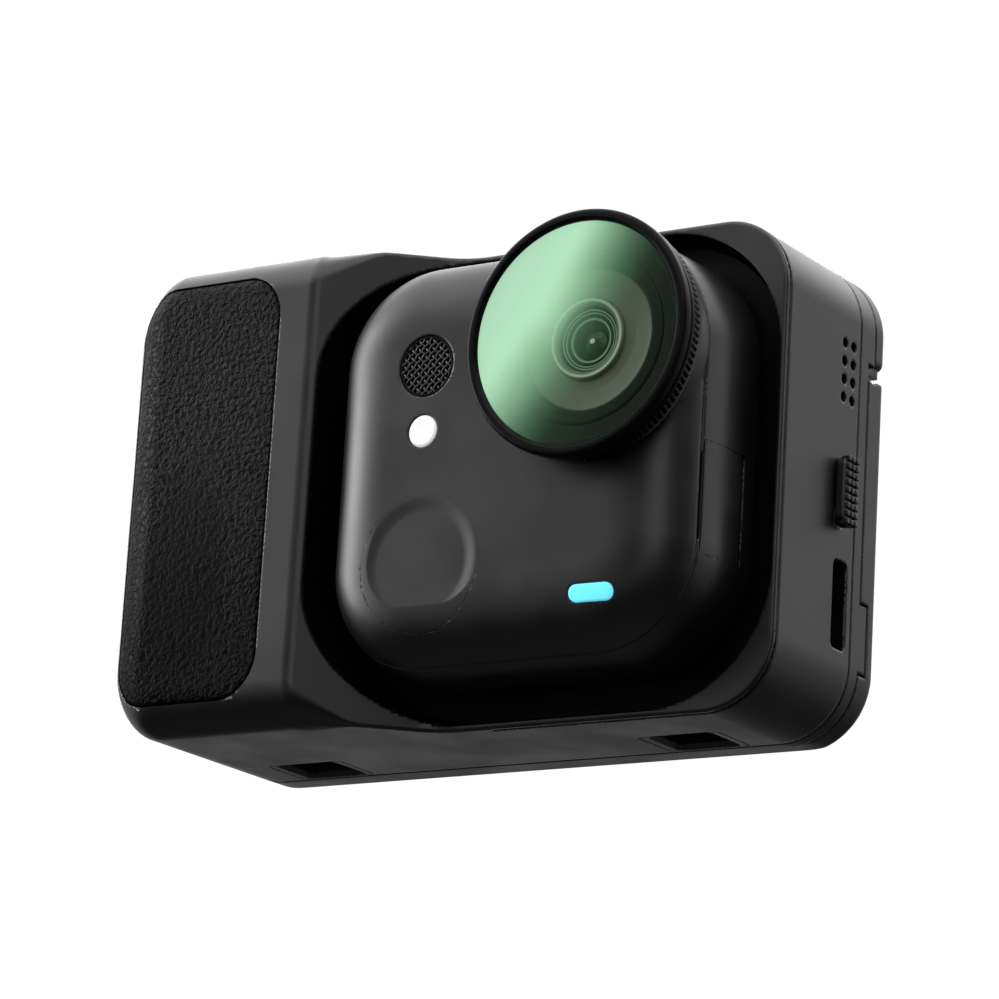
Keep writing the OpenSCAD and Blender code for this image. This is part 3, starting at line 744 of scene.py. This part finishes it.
def inner_profiles(start):
    """Sections of the stepped baffles and of the glass deep in the lens, which the CAD doesn't split out, and
    of a small glowing bead at its centre that is a painted glint.
    """
    steps = [(u, start + v, 0.04) for u, v in BAFFLES[::-1]]
    rear = start + 1.5
    return {"lens_baffles": fillet_profile(
                steps + [(3.5, start, 0.04), (3.5, rear, 0.05), (BAFFLES[-1][0], rear, 0.04)]),
            "lens_inner": bead(1.5, 0.5, start + 0.45, start + 1.15),
            "lens_painted_glint": bead(0.32, 0.22, start + 0.3, start + 0.8)}


def hoop_profile(r, y, half):
    front, rear = y - 0.05, y + 0.1
    return fillet_profile(
        [(r - half, rear, 0.02), (r - half, front, 0.04), (r + half, front, 0.04), (r + half, rear, 0.02)])


def button(node, ridge):
    """A round push button with a dished top and a thin ridge round it."""
    flange = round_size(node)[0]
    r = flange - FLANGE
    low, top = corners(node)[0][2], corners(node)[1][2]
    points = [(0, low, 0), (flange, low, 0.08), (flange, low + FLANGE_H, 0.08), (r, low + FLANGE_H, 0.05),
              (r, top, 0.18), (r - ridge + 0.25, top, 0.12), (r - ridge, top - 0.2, 0.3), (0, top - 0.22, 0)]
    return turned(node + ".shape", fillet_profile(points), middle(node), axis="z")


def indicator():
    r, front, rear = round_size("indicator_lens")
    points = [(0, front + 0.02, 0), (r - 0.25, front + 0.02, 0.4), (r, front + 0.14, 0.1), (r, rear, 0.06),
              (0, rear, 0)]
    return turned("indicator_lens.shape", fillet_profile(points), middle("indicator_lens"))


# The woven microphone mesh

def tube(path, r, sides=6):
    """A thin closed tube along a path, as vertices and faces."""
    path = [Vector(q) for q in path]
    verts, faces = [], []
    for i, q in enumerate(path):
        way = (path[min(i + 1, len(path) - 1)] - path[max(i - 1, 0)]).normalized()
        side = way.cross(Vector((0, 1, 0))).normalized()
        up = side.cross(way)
        for k in range(sides):
            a = 2 * math.pi * k / sides
            verts.append(q + side * (r * math.cos(a)) + up * (r * math.sin(a)))
    for i in range(len(path) - 1):
        for k in range(sides):
            m = (k + 1) % sides
            faces.append([i * sides + k, i * sides + m, (i + 1) * sides + m, (i + 1) * sides + k])
    faces.append(list(range(sides)))
    last = (len(path) - 1) * sides
    faces.append([last + k for k in reversed(range(sides))])
    return verts, faces


def woven_mesh():
    """Wires woven over and under each other at 45 degrees, and the dished rim that holds them."""
    lo, hi = corners("mic_mesh")
    at = middle("mic_mesh")
    reach = (hi[0] - lo[0]) / 2 - 0.22
    pitch, wire, rise, root = 0.62, 0.13, 0.07, math.sqrt(0.5)
    verts, faces = [], []
    lines = int(reach / pitch)
    for layer in (0, 1):
        for i in range(-lines, lines + 1):
            offset = i * pitch
            half = math.sqrt(max(reach ** 2 - offset ** 2, 0.01))
            steps = max(8, int(half * 12))
            path = []
            for k in range(steps + 1):
                along = -half + 2 * half * k / steps
                wave = math.cos(math.pi * (along / pitch + i + layer))
                u, v = (along, offset) if layer == 0 else (offset, along)
                path.append((at[0] + (u - v) * root, lo[1] + 0.2 + rise * wave, at[2] + (u + v) * root))
            piece, ring = tube(path, wire)
            faces += [[len(verts) + k for k in f] for f in ring]
            verts += piece
    weave = mesh_object("mic_mesh.weave", [tuple(q) for q in verts], faces)
    edge = reach - 0.05, reach + 0.2
    rim = turned("mic_mesh.rim", fillet_profile(
        [(edge[0], lo[1] + 0.02, 0.08), (edge[1], lo[1] + 0.02, 0.08), (edge[1], hi[1], 0.05),
         (0, hi[1], 0), (0, hi[1] - 0.06, 0), (edge[0], hi[1] - 0.06, 0.04)]), at)
    return weave, rim


# Materials

class Tree:
    """A short way to build a node tree."""

    def __init__(self, tree):
        self.tree = tree

    def add(self, kind, **values):
        node = self.tree.nodes.new(kind)
        for key, value in values.items():
            setattr(node, key, value)
        return node

    def link(self, a, b):
        self.tree.links.new(a, b)

    def maths(self, operation, *values):
        """The result of a sum on sockets and numbers."""
        node = self.add("ShaderNodeMath", operation=operation)
        for socket, value in zip(node.inputs, values):
            if isinstance(value, (int, float)):
                socket.default_value = value
            else:
                self.link(value, socket)
        return node.outputs[0]

    def measure(self, operation, place, vector):
        """The DOT_PRODUCT or DISTANCE of a place and a fixed vector."""
        node = self.add("ShaderNodeVectorMath", operation=operation)
        self.link(place, node.inputs[0])
        node.inputs[1].default_value = vector
        return node.outputs["Value"]

    def spread(self, value, low, high, start=0.3, end=0.7):
        """Softly takes value from the range start to end to the range low to high."""
        node = self.add("ShaderNodeMapRange", interpolation_type="SMOOTHSTEP")
        for socket, number in zip(("From Min", "From Max", "To Min", "To Max"), (start, end, low, high)):
            node.inputs[socket].default_value = number
        self.link(value, node.inputs["Value"])
        return node.outputs["Result"]


class Nodes(Tree):
    """One material and its shader."""

    def __init__(self, name):
        self.name = name
        self.material = bpy.data.materials.new("look_" + name)
        self.material.use_nodes = True
        super().__init__(self.material.node_tree)
        self.shader = self.tree.nodes["Principled BSDF"]
        self.output = self.tree.nodes["Material Output"]
        self.place = self.add("ShaderNodeTexCoord").outputs["Object"]

    def set(self, **values):
        for key, value in values.items():
            self.shader.inputs[key.replace("_", " ")].default_value = value

    def drive(self, value, *names):
        for name in names:
            self.link(value, self.shader.inputs[name])

    def mapped(self, **values):
        """The object's own place, moved and stretched."""
        node = self.add("ShaderNodeMapping", vector_type=values.pop("vector_type", "POINT"))
        for key, value in values.items():
            node.inputs[key].default_value = value
        self.link(self.place, node.inputs["Vector"])
        return node.outputs[0]

    def noise(self, scale, detail=3.0, rough=0.5, distortion=0.0, place=None):
        node = self.add("ShaderNodeTexNoise")
        settings = {"Scale": scale, "Detail": detail, "Roughness": rough, "Distortion": distortion}
        for key, value in settings.items():
            node.inputs[key].default_value = value
        self.link(place or self.place, node.inputs["Vector"])
        return node.outputs["Fac"]

    def cells(self, scale, smoothness):
        node = self.add("ShaderNodeTexVoronoi", feature="SMOOTH_F1")
        node.inputs["Scale"].default_value = scale
        node.inputs["Smoothness"].default_value = smoothness
        self.link(self.place, node.inputs["Vector"])
        return node.outputs["Distance"]

    def colours(self, value, stops):
        """A ramp of (place, colour or grey level) stops."""
        node = self.add("ShaderNodeValToRGB")
        ramp = node.color_ramp
        while len(ramp.elements) < len(stops):
            ramp.elements.new(0.5)
        for element, (at, colour) in zip(ramp.elements, stops):
            element.position = at
            element.color = (*colour, 1) if isinstance(colour, tuple) else (colour, colour, colour, 1)
        self.link(value, node.inputs["Fac"])
        return node.outputs["Color"]

    def bumps(self, *layers):
        """Stacks (height, strength, distance in mm) bumps, the last one on top."""
        normal = None
        for height, strength, distance in layers:
            node = self.add("ShaderNodeBump")
            node.inputs["Strength"].default_value = strength
            node.inputs["Distance"].default_value = distance * MM
            self.link(height, node.inputs["Height"])
            if normal:
                self.link(normal, node.inputs["Normal"])
            normal = node.outputs["Normal"]
        self.drive(normal, "Normal")

    def over_clear(self, tint, cover):
        """Lays the shader over clear glass of that tint, as thickly as cover says."""
        clear, blend = self.add("ShaderNodeBsdfTransparent"), self.add("ShaderNodeMixShader")
        clear.inputs["Color"].default_value = (*tint, 1)
        self.link(cover, blend.inputs["Fac"])
        self.link(clear.outputs[0], blend.inputs[1])
        self.link(self.shader.outputs[0], blend.inputs[2])
        self.link(blend.outputs[0], self.output.inputs["Surface"])


def shade(colour, factor):
    return tuple(min(c * factor, 1) for c in colour)


def plastic(name, colour, rough, grain=4200, depth=0.012, spread=0.05, specular=0.5):
    """Moulded plastic or paint: fine grain, slight unevenness in colour and gloss."""
    n = Nodes(name)
    broad = n.noise(90, 4)
    n.drive(n.colours(broad, [(0.3, shade(colour, 0.88)), (0.7, shade(colour, 1.1))]), "Base Color")
    n.drive(n.spread(broad, rough - spread, rough + spread), "Roughness")
    n.bumps((n.noise(grain, 2), 0.5, depth))
    n.set(Specular_IOR_Level=specular)
    return n


def leather():
    """Grained grip leather: wrinkles all round, worn smoother where the palm lies, with a painted sheen that
    grows towards the top.
    """
    n = Nodes("grip_leather")
    wrinkle = n.noise(1700, 3, 0.55, 0.5)
    palm = n.mapped(vector_type="TEXTURE", Location=(-28 * MM, GRIP_Y * MM, 17 * MM), Scale=(0.8, 0.4, 1.7))
    grained = n.spread(n.measure("DISTANCE", palm, (0, 0, 0)), 0.1, 1, 5 * MM, 17 * MM)
    relief = n.maths("MULTIPLY", n.spread(wrinkle, 0, 1, 0.36, 0.62), grained)
    dark, light = (0.0007, 0.0007, 0.0008), (0.002, 0.002, 0.0021)
    n.drive(n.colours(wrinkle, [(0.35, dark), (0.65, light)]), "Base Color")
    n.drive(n.spread(n.noise(110, 3), 0.32, 0.42), "Roughness")
    n.bumps((n.cells(1700, 0.35), 0.12, 0.03), (relief, 1.0, 0.3), (n.noise(5200, 2), 0.2, 0.006))
    # Painted sheen: the leather reflects more the higher it lies
    height = n.measure("DOT_PRODUCT", n.place, (0, 0, 1))
    n.drive(n.spread(height, 0.03, 0.095, 5 * MM, 45 * MM), "Specular IOR Level")
    return n


def metal(name, colour, rough, stretch=(1, 1, 1)):
    """Brushed metal, its lines drawn out by stretch."""
    n = Nodes(name)
    lines = n.noise(900, 3, place=n.mapped(Scale=stretch))
    n.drive(n.colours(lines, [(0.3, shade(colour, 0.85)), (0.7, shade(colour, 1.05))]), "Base Color")
    n.drive(n.spread(lines, rough - 0.06, rough + 0.08), "Roughness")
    n.bumps((lines, 0.2, 0.008))
    n.set(Metallic=1.0)
    return n


def board():
    """Solder mask with faint copper tracks."""
    n = Nodes("board_green")
    tracks = n.add("ShaderNodeTexWave")
    tracks.inputs["Scale"].default_value = 260
    tracks.inputs["Distortion"].default_value = 3.5
    n.link(n.place, tracks.inputs["Vector"])
    n.drive(n.colours(tracks.outputs["Fac"], [(0.55, (0.012, 0.1, 0.045)), (0.75, (0.03, 0.19, 0.09))]),
            "Base Color")
    n.drive(n.spread(n.noise(900), 0.3, 0.45), "Roughness")
    n.bumps((tracks.outputs["Fac"], 0.4, 0.03))
    return n


def lit(name, colour, glow, rough=0.35):
    """A lamp's translucent cover, slightly cloudy."""
    n = Nodes(name)
    cloud = n.noise(700, 2)
    tint = n.colours(cloud, [(0.2, shade(colour, 0.96)), (0.8, shade(colour, 1.04))])
    n.drive(tint, "Base Color", "Emission Color")
    n.drive(n.spread(cloud, rough - 0.04, rough + 0.04), "Roughness")
    n.set(Emission_Strength=glow)
    return n


# A painted reflection on the green coating, by its strength, which rises from 0 at the lower right to 1 at
# the upper left
PAINTED_REFLECTION_WAY, PAINTED_REFLECTION_REACH = (-0.84, 0, 0.54), 12
COATING_AND_REFLECTION_TINTS = [(0.0, (0.015, 0.028, 0.018)), (0.3, (0.06, 0.125, 0.07)), (0.5, (0.12, 0.25, 0.15)),
                 (0.64, (0.19, 0.35, 0.22)), (0.85, (0.24, 0.4, 0.28)), (1.0, (0.2, 0.33, 0.235))]
COATING_AND_REFLECTION_COVER = [(0.0, 0.03), (0.3, 0.05), (0.5, 0.15), (0.64, 0.27), (0.72, 0.37), (0.85, 0.66), (1.0, 0.86)]
REFLECTION_THIN_SPOT = (27.2, -29.7, 35.75)


def filter_coating():
    """Filter glass with a green coating under a glowing painted reflection, bright at the upper left, which
    thins out towards its lower right and before the lens.
    """
    n = Nodes("filter_coating")
    way = Vector(PAINTED_REFLECTION_WAY) / (PAINTED_REFLECTION_REACH * MM)
    across = n.measure("DOT_PRODUCT", n.mapped(Location=(-LENS[0] * MM, 0, -LENS[2] * MM)), way)
    wobble = n.noise(60, 2)
    strength = n.spread(n.maths("MULTIPLY_ADD", wobble, 0.3, across), 0, 1, -0.85, 1.15)
    # Painted reflection: where the strength is high the coating's green is bright and glows
    n.drive(n.colours(strength, COATING_AND_REFLECTION_TINTS), "Base Color", "Emission Color")
    n.drive(n.spread(wobble, 0.1, 0.16), "Roughness")
    n.set(Emission_Strength=1.4)
    # Painted reflection: the glowing layer thins over a spot before the lens
    thin = n.spread(n.measure("DISTANCE", n.place, Vector(REFLECTION_THIN_SPOT) * MM), 0.5, 1, 3.6 * MM, 5 * MM)
    n.over_clear((0.93, 0.98, 0.91), n.maths("MULTIPLY", thin, n.colours(strength, COATING_AND_REFLECTION_COVER)))
    return n


def lens_glass():
    """Dark lens glass that is clear when looked into and mirrors at a slant."""
    n = Nodes("lens_glass")
    cloud = n.noise(300, 2)
    n.drive(n.colours(cloud, [(0.3, (0.01, 0.02, 0.02)), (0.7, (0.02, 0.035, 0.03))]), "Base Color")
    n.drive(n.spread(cloud, 0.02, 0.05), "Roughness")
    n.set(Specular_IOR_Level=0.7)
    slant = n.add("ShaderNodeLayerWeight").outputs["Facing"]
    n.over_clear((0.9, 0.97, 0.93), n.spread(slant, 0.08, 0.9, 0.45, 1))
    return n


def lens_ring_glow():
    """Satin rings in the lens with a faint green glow, a painted highlight that picks them out as light
    rings.
    """
    n = plastic("lens_ring_glow", (0.3, 0.32, 0.3), 0.35, depth=0.0006)
    # Painted highlight: the rings glow faintly green
    n.set(Emission_Color=(0.5, 0.62, 0.52, 1), Emission_Strength=0.13)
    return n


def floor_material():
    n = Nodes("floor_pale")
    n.drive(n.colours(n.noise(2.5, 3), [(0.3, 0.86), (0.7, 0.9)]), "Base Color")
    n.set(Roughness=0.7)
    return n


def make_materials():
    made = [
        plastic("housing_black", (0.005, 0.005, 0.0053), 0.34),
        plastic("camera_black", (0.005, 0.005, 0.0053), 0.33, grain=5200, depth=0.006),
        plastic("shutter_black", (0.005, 0.005, 0.0053), 0.33, grain=5200, depth=0.006),
        plastic("button_black", (0.006, 0.006, 0.0063), 0.36),
        plastic("inner_black", (0.0012, 0.0012, 0.0013), 0.5, depth=0.02, specular=0.06),
        plastic("mesh_black", (0.008, 0.008, 0.0084), 0.4, grain=9000),
        plastic("lens_black", (0.105, 0.096, 0.087), 0.38, depth=0.0006),
        plastic("ring_black", (0.003, 0.003, 0.0033), 0.3, grain=8000, depth=0.0006, specular=0.07),
        plastic("screen_glass", (0.003, 0.003, 0.0035), 0.07, depth=0.0005, spread=0.02, specular=0.6),
        plastic("display_black", (0.006, 0.006, 0.009), 0.2, depth=0.001, spread=0.04),
        plastic("cell_grey", (0.22, 0.225, 0.25), 0.4, grain=1400, depth=0.03),
        plastic("sensor_dark", (0.05, 0.035, 0.09), 0.15, grain=6000, depth=0.01, spread=0.04),
        leather(), board(), filter_coating(), lens_glass(), lens_ring_glow(),
        metal("steel", (0.62, 0.63, 0.65), 0.3, (1, 6, 1)),
        metal("contact_gold", (0.85, 0.62, 0.27), 0.25),
        lit("indicator_white", (0.88, 0.89, 0.88), 0.25),
        lit("light_cyan", (0.13, 0.66, 0.88), 0.8),
    ]
    return {n.name: n.material for n in made}


# Putting it together

def dress(obj, material):
    obj.data.materials.clear()
    obj.data.materials.append(material)


def place(obj, body, slot, materials, *nodes):
    """obj rides its body, stands for its CAD nodes and takes its slot's finish."""
    dress(obj, materials[slot])
    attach(obj, body)
    if nodes:
        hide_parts(*nodes)
    return obj


def pebble(verts):
    """Presses the leather's larger pebbles into the pad's outer face."""
    skin = pod_skin(verts)
    outer = smooth((skin + 0.5) / 0.3) * smooth(-(pad_region(verts) + 0.3) / 0.8)
    normal = gradient(pod_skin, verts)
    wave = np.array([noise.noise(Vector(v) * 1.1) + 0.5 * noise.noise(Vector(v) * 2.3) for v in verts])
    height = np.clip(wave * 0.02, -0.04, 0.01)
    return verts + normal * (height * outer)[:, None]


def shells(materials):
    """Every piece meshed from a field: node, field, body, slot, grid step and share of the mesh kept."""
    rows = [
        ("pod_front_housing", pod_front_field, "pod", "housing_black", FINE, 0.3),
        ("pod_rear_housing", pod_rear_field, "pod", "housing_black", FINE, 0.3),
        ("screen_frame", screen_frame_field, "screen", "housing_black", FINE, 0.35),
        ("screen_glass", screen_glass_field, "screen", "screen_glass", FINE, 0.3),
        ("hinge_knuckle", knuckle_field, "screen", "housing_black", 0.7 * FINE, 0.5),
        ("mount_sockets", sockets_field, "pod", "button_black", 0.6 * FINE, 0.5),
        ("release_slider", slider_field, "release", "button_black", 0.35 * FINE, 0.6),
        ("camera_front_shell", camera_front_field, "camera", "camera_black", 0.75 * FINE, 0.6),
        ("camera_rear_shell", camera_rear_field, "camera", "camera_black", FINE, 0.4),
        ("card_door", card_door_field, "card_door", "camera_black", 0.6 * FINE, 0.5),
        ("shutter_button", shutter_field, "shutter", "shutter_black", 0.4 * FINE, 0.7),
        ("light_bar", light_bar_field, "camera", "light_cyan", 0.4 * FINE, 0.5),
    ]
    for node, field, body, slot, h, keep in rows:
        obj = field_object(node + ".shape", field, *corners(node), h, keep)
        place(obj, body, slot, materials, node)
    for node in ("hinge_block_left", "hinge_block_right"):
        side = -1 if node.endswith("left") else 1

        def one_side(p, side=side):
            return np.maximum(hinge_block_field(p), BLOCK_LO[0] - side * p[:, 0])
        place(field_object(node + ".shape", one_side, *corners(node), FINE, 0.4), "pod", "housing_black",
              materials, node)
    pad = field_object("grip_pad.shape", pad_field, PAD_LO, PAD_HI, 0.85 * FINE, 1, pebble)
    place(pad, "pod", "grip_leather", materials, "grip_pad")


def darken_bay(materials):
    """Painted shade in the bay and the side openings: their walls take a deeper, duller black than the
    outside.
    """
    obj = bpy.data.objects["pod_front_housing.shape"]
    obj.data.materials.append(materials["inner_black"])
    centres = np.array([f.center for f in obj.data.polygons]) / MM
    walls = np.minimum(np.abs(bay(centres)), np.abs(side_openings(centres)))
    inside = (walls < 0.12) & (pod_skin(centres) < -0.25)
    # Painted shade: these wall faces take the darker black
    for face in np.flatnonzero(inside):
        obj.data.polygons[int(face)].material_index = 1


def round_pieces(materials):
    place(filter_ring(), "filter", "ring_black", materials, "filter_ring")
    looks = {"filter_glass": ("filter", "filter_coating"), "filter_retaining_ring": ("filter", "ring_black"),
             "lens_collar": ("camera", "ring_black"), "lens_barrel": ("camera", "lens_black"),
             "lens_front_element": ("camera", "lens_glass"), "lens_rear_element": ("camera", "sensor_dark")}
    for node, profile in lens_profiles().items():
        place(turned(node + ".shape", profile, LENS), *looks[node], materials, node)
    start = round_size("lens_front_element")[1] + LENS_GAP
    # The glowing white bead at the lens centre is a painted glint
    slots = {"lens_baffles": "ring_black", "lens_inner": "screen_glass", "lens_painted_glint": "indicator_white"}
    for name, profile in inner_profiles(start).items():
        place(turned(name, profile, LENS), "camera", slots[name], materials)
    # Thin rings in the lens, picked out by a painted glow
    for i, (r, depth, half) in enumerate(HOOPS):
        ring = turned(f"lens_hoop_{i + 1}", hoop_profile(r, start + depth, half), LENS)
        dress(ring, materials["lens_ring_glow"])
        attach(ring, "camera")
    for node, ridge in (("record_button", 1.0), ("quick_button", 0.6)):
        place(button(node, ridge), node, "button_black", materials, node)
    place(indicator(), "camera", "indicator_white", materials, "indicator_lens")
    weave, rim = woven_mesh()
    place(weave, "camera", "mesh_black", materials, "mic_mesh")
    place(rim, "camera", "inner_black", materials)


def dress_cad_nodes(materials):
    """The CAD nodes that still show, or show once a joint opens, take their slot's material."""
    slots = {part["node"]: part["material_slot"] for part in frame["record"]["subparts"]}
    for name, obj in frame["nodes"].items():
        if name in slots:
            dress(obj, materials[slots[name]])


# Stage, camera and light

# The photo's camera, fitted to the object's edges: metres, unit directions and the focal length in mm
EYE = (0.26535, -0.40322, -0.10200)
EYE_RIGHT = Vector((0.84011, 0.53937, 0.05746))
EYE_DOWN = Vector((-0.09508, 0.25072, -0.96338))
EYE_FORWARD = Vector((-0.53402, 0.80388, 0.26192))
FOCAL = 162.45


def set_camera():
    data = bpy.data.cameras.new("photo_camera")
    data.lens = FOCAL
    data.sensor_width = 36
    data.clip_start = 0.01
    camera = bpy.data.objects.new("photo_camera", data)
    bpy.context.scene.collection.objects.link(camera)
    turn = Matrix((EYE_RIGHT, -EYE_DOWN, -EYE_FORWARD)).transposed()
    camera.matrix_world = Matrix.Translation(EYE) @ turn.to_4x4()
    bpy.context.scene.camera = camera


def softbox(name, at, size, power):
    """A rectangular lamp turned towards the object."""
    data = bpy.data.lights.new(name, "AREA")
    data.shape = "RECTANGLE"
    data.size, data.size_y = size
    data.energy = power
    lamp = bpy.data.objects.new(name, data)
    bpy.context.scene.collection.objects.link(lamp)
    lamp.location = at
    way = Vector((0, 0, 0.03)) - Vector(at)
    lamp.rotation_euler = way.to_track_quat("-Z", "Y").to_euler()


# What the object mirrors: level by height, then soft lobes as direction, half width in degrees and gain.
# A positive gain adds light; a negative one takes that share away.
HEIGHTS = ((-1.0, 0.15), (-0.62, 0.05), (-0.4, 0.07), (-0.2, 0.33), (0.0, 0.42), (0.16, 0.64), (0.35, 0.8),
           (0.5, 1.5), (0.7, 2.3), (0.85, 2.2), (1.0, 1.4))
LOBES = (((-0.89, -0.38, 0.24), 18, 3.2), ((0.42, -0.87, 0.24), 15, 0.5), ((0.8, 0.5, 0.3), 20, 0.2),
         ((-0.06, -0.97, 0.24), 14, -0.8), ((0.93, -0.3, 0.2), 26, -0.85), ((-0.53, -0.8, 0.2), 20, -0.2))


def level_by_height(t, way):
    split, ramp = t.add("ShaderNodeSeparateXYZ"), t.add("ShaderNodeFloatCurve")
    t.link(way, split.inputs[0])
    top = max(level for _, level in HEIGHTS)
    points = ramp.mapping.curves[0].points
    points[0].location = (0, HEIGHTS[0][1] / top)
    points[1].location = (1, HEIGHTS[-1][1] / top)
    for height, level in HEIGHTS[1:-1]:
        points.new(height / 2 + 0.5, level / top)
    ramp.mapping.update()
    t.link(t.maths("MULTIPLY_ADD", split.outputs["Z"], 0.5, 0.5), ramp.inputs["Value"])
    return t.maths("MULTIPLY", ramp.outputs["Value"], top)


def set_world():
    """White to the camera. What the object mirrors is bright above, dark below, with soft lobes."""
    world = bpy.data.worlds.new("studio")
    bpy.context.scene.world = world
    world.use_nodes = True
    world.node_tree.nodes.clear()
    t = Tree(world.node_tree)
    way = t.add("ShaderNodeTexCoord").outputs["Generated"]
    level = level_by_height(t, way)
    for aim, width, gain in LOBES:
        near = t.measure("DOT_PRODUCT", way, Vector(aim).normalized())
        lobe = t.spread(near, 0, 1, math.cos(math.radians(1.5 * width)), math.cos(math.radians(0.45 * width)))
        if gain > 0:
            level = t.maths("MULTIPLY_ADD", lobe, gain, level)
        else:
            level = t.maths("MULTIPLY", level, t.maths("MULTIPLY_ADD", lobe, gain, 1.0))
    studio, white, mix = (t.add("ShaderNode" + kind) for kind in ("Background", "Background", "MixShader"))
    studio.inputs["Color"].default_value = white.inputs["Color"].default_value = (1, 1, 1, 1)
    t.link(level, studio.inputs["Strength"])
    white.inputs["Strength"].default_value = 1.05
    t.link(t.add("ShaderNodeLightPath").outputs["Is Camera Ray"], mix.inputs["Fac"])
    t.link(studio.outputs[0], mix.inputs[1])
    t.link(white.outputs[0], mix.inputs[2])
    t.link(mix.outputs[0], t.add("ShaderNodeOutputWorld").inputs["Surface"])


def set_stage():
    bpy.ops.mesh.primitive_plane_add(size=6, location=(0, 0, -0.2))
    floor = bpy.context.object
    floor.name = "floor"
    dress(floor, floor_material().material)
    floor.visible_glossy = False
    floor.visible_diffuse = False
    set_world()
    softbox("soft_left", (-0.75, -0.3, 0.22), (0.3, 0.5), 1.5)
    softbox("soft_back", (-0.45, 0.62, 0.26), (0.4, 0.3), 2.5)
    bpy.context.scene.view_settings.view_transform = "Standard"


def main():
    materials = make_materials()
    set_camera()
    set_stage()
    dress_cad_nodes(materials)
    shells(materials)
    darken_bay(materials)
    round_pieces(materials)


main()
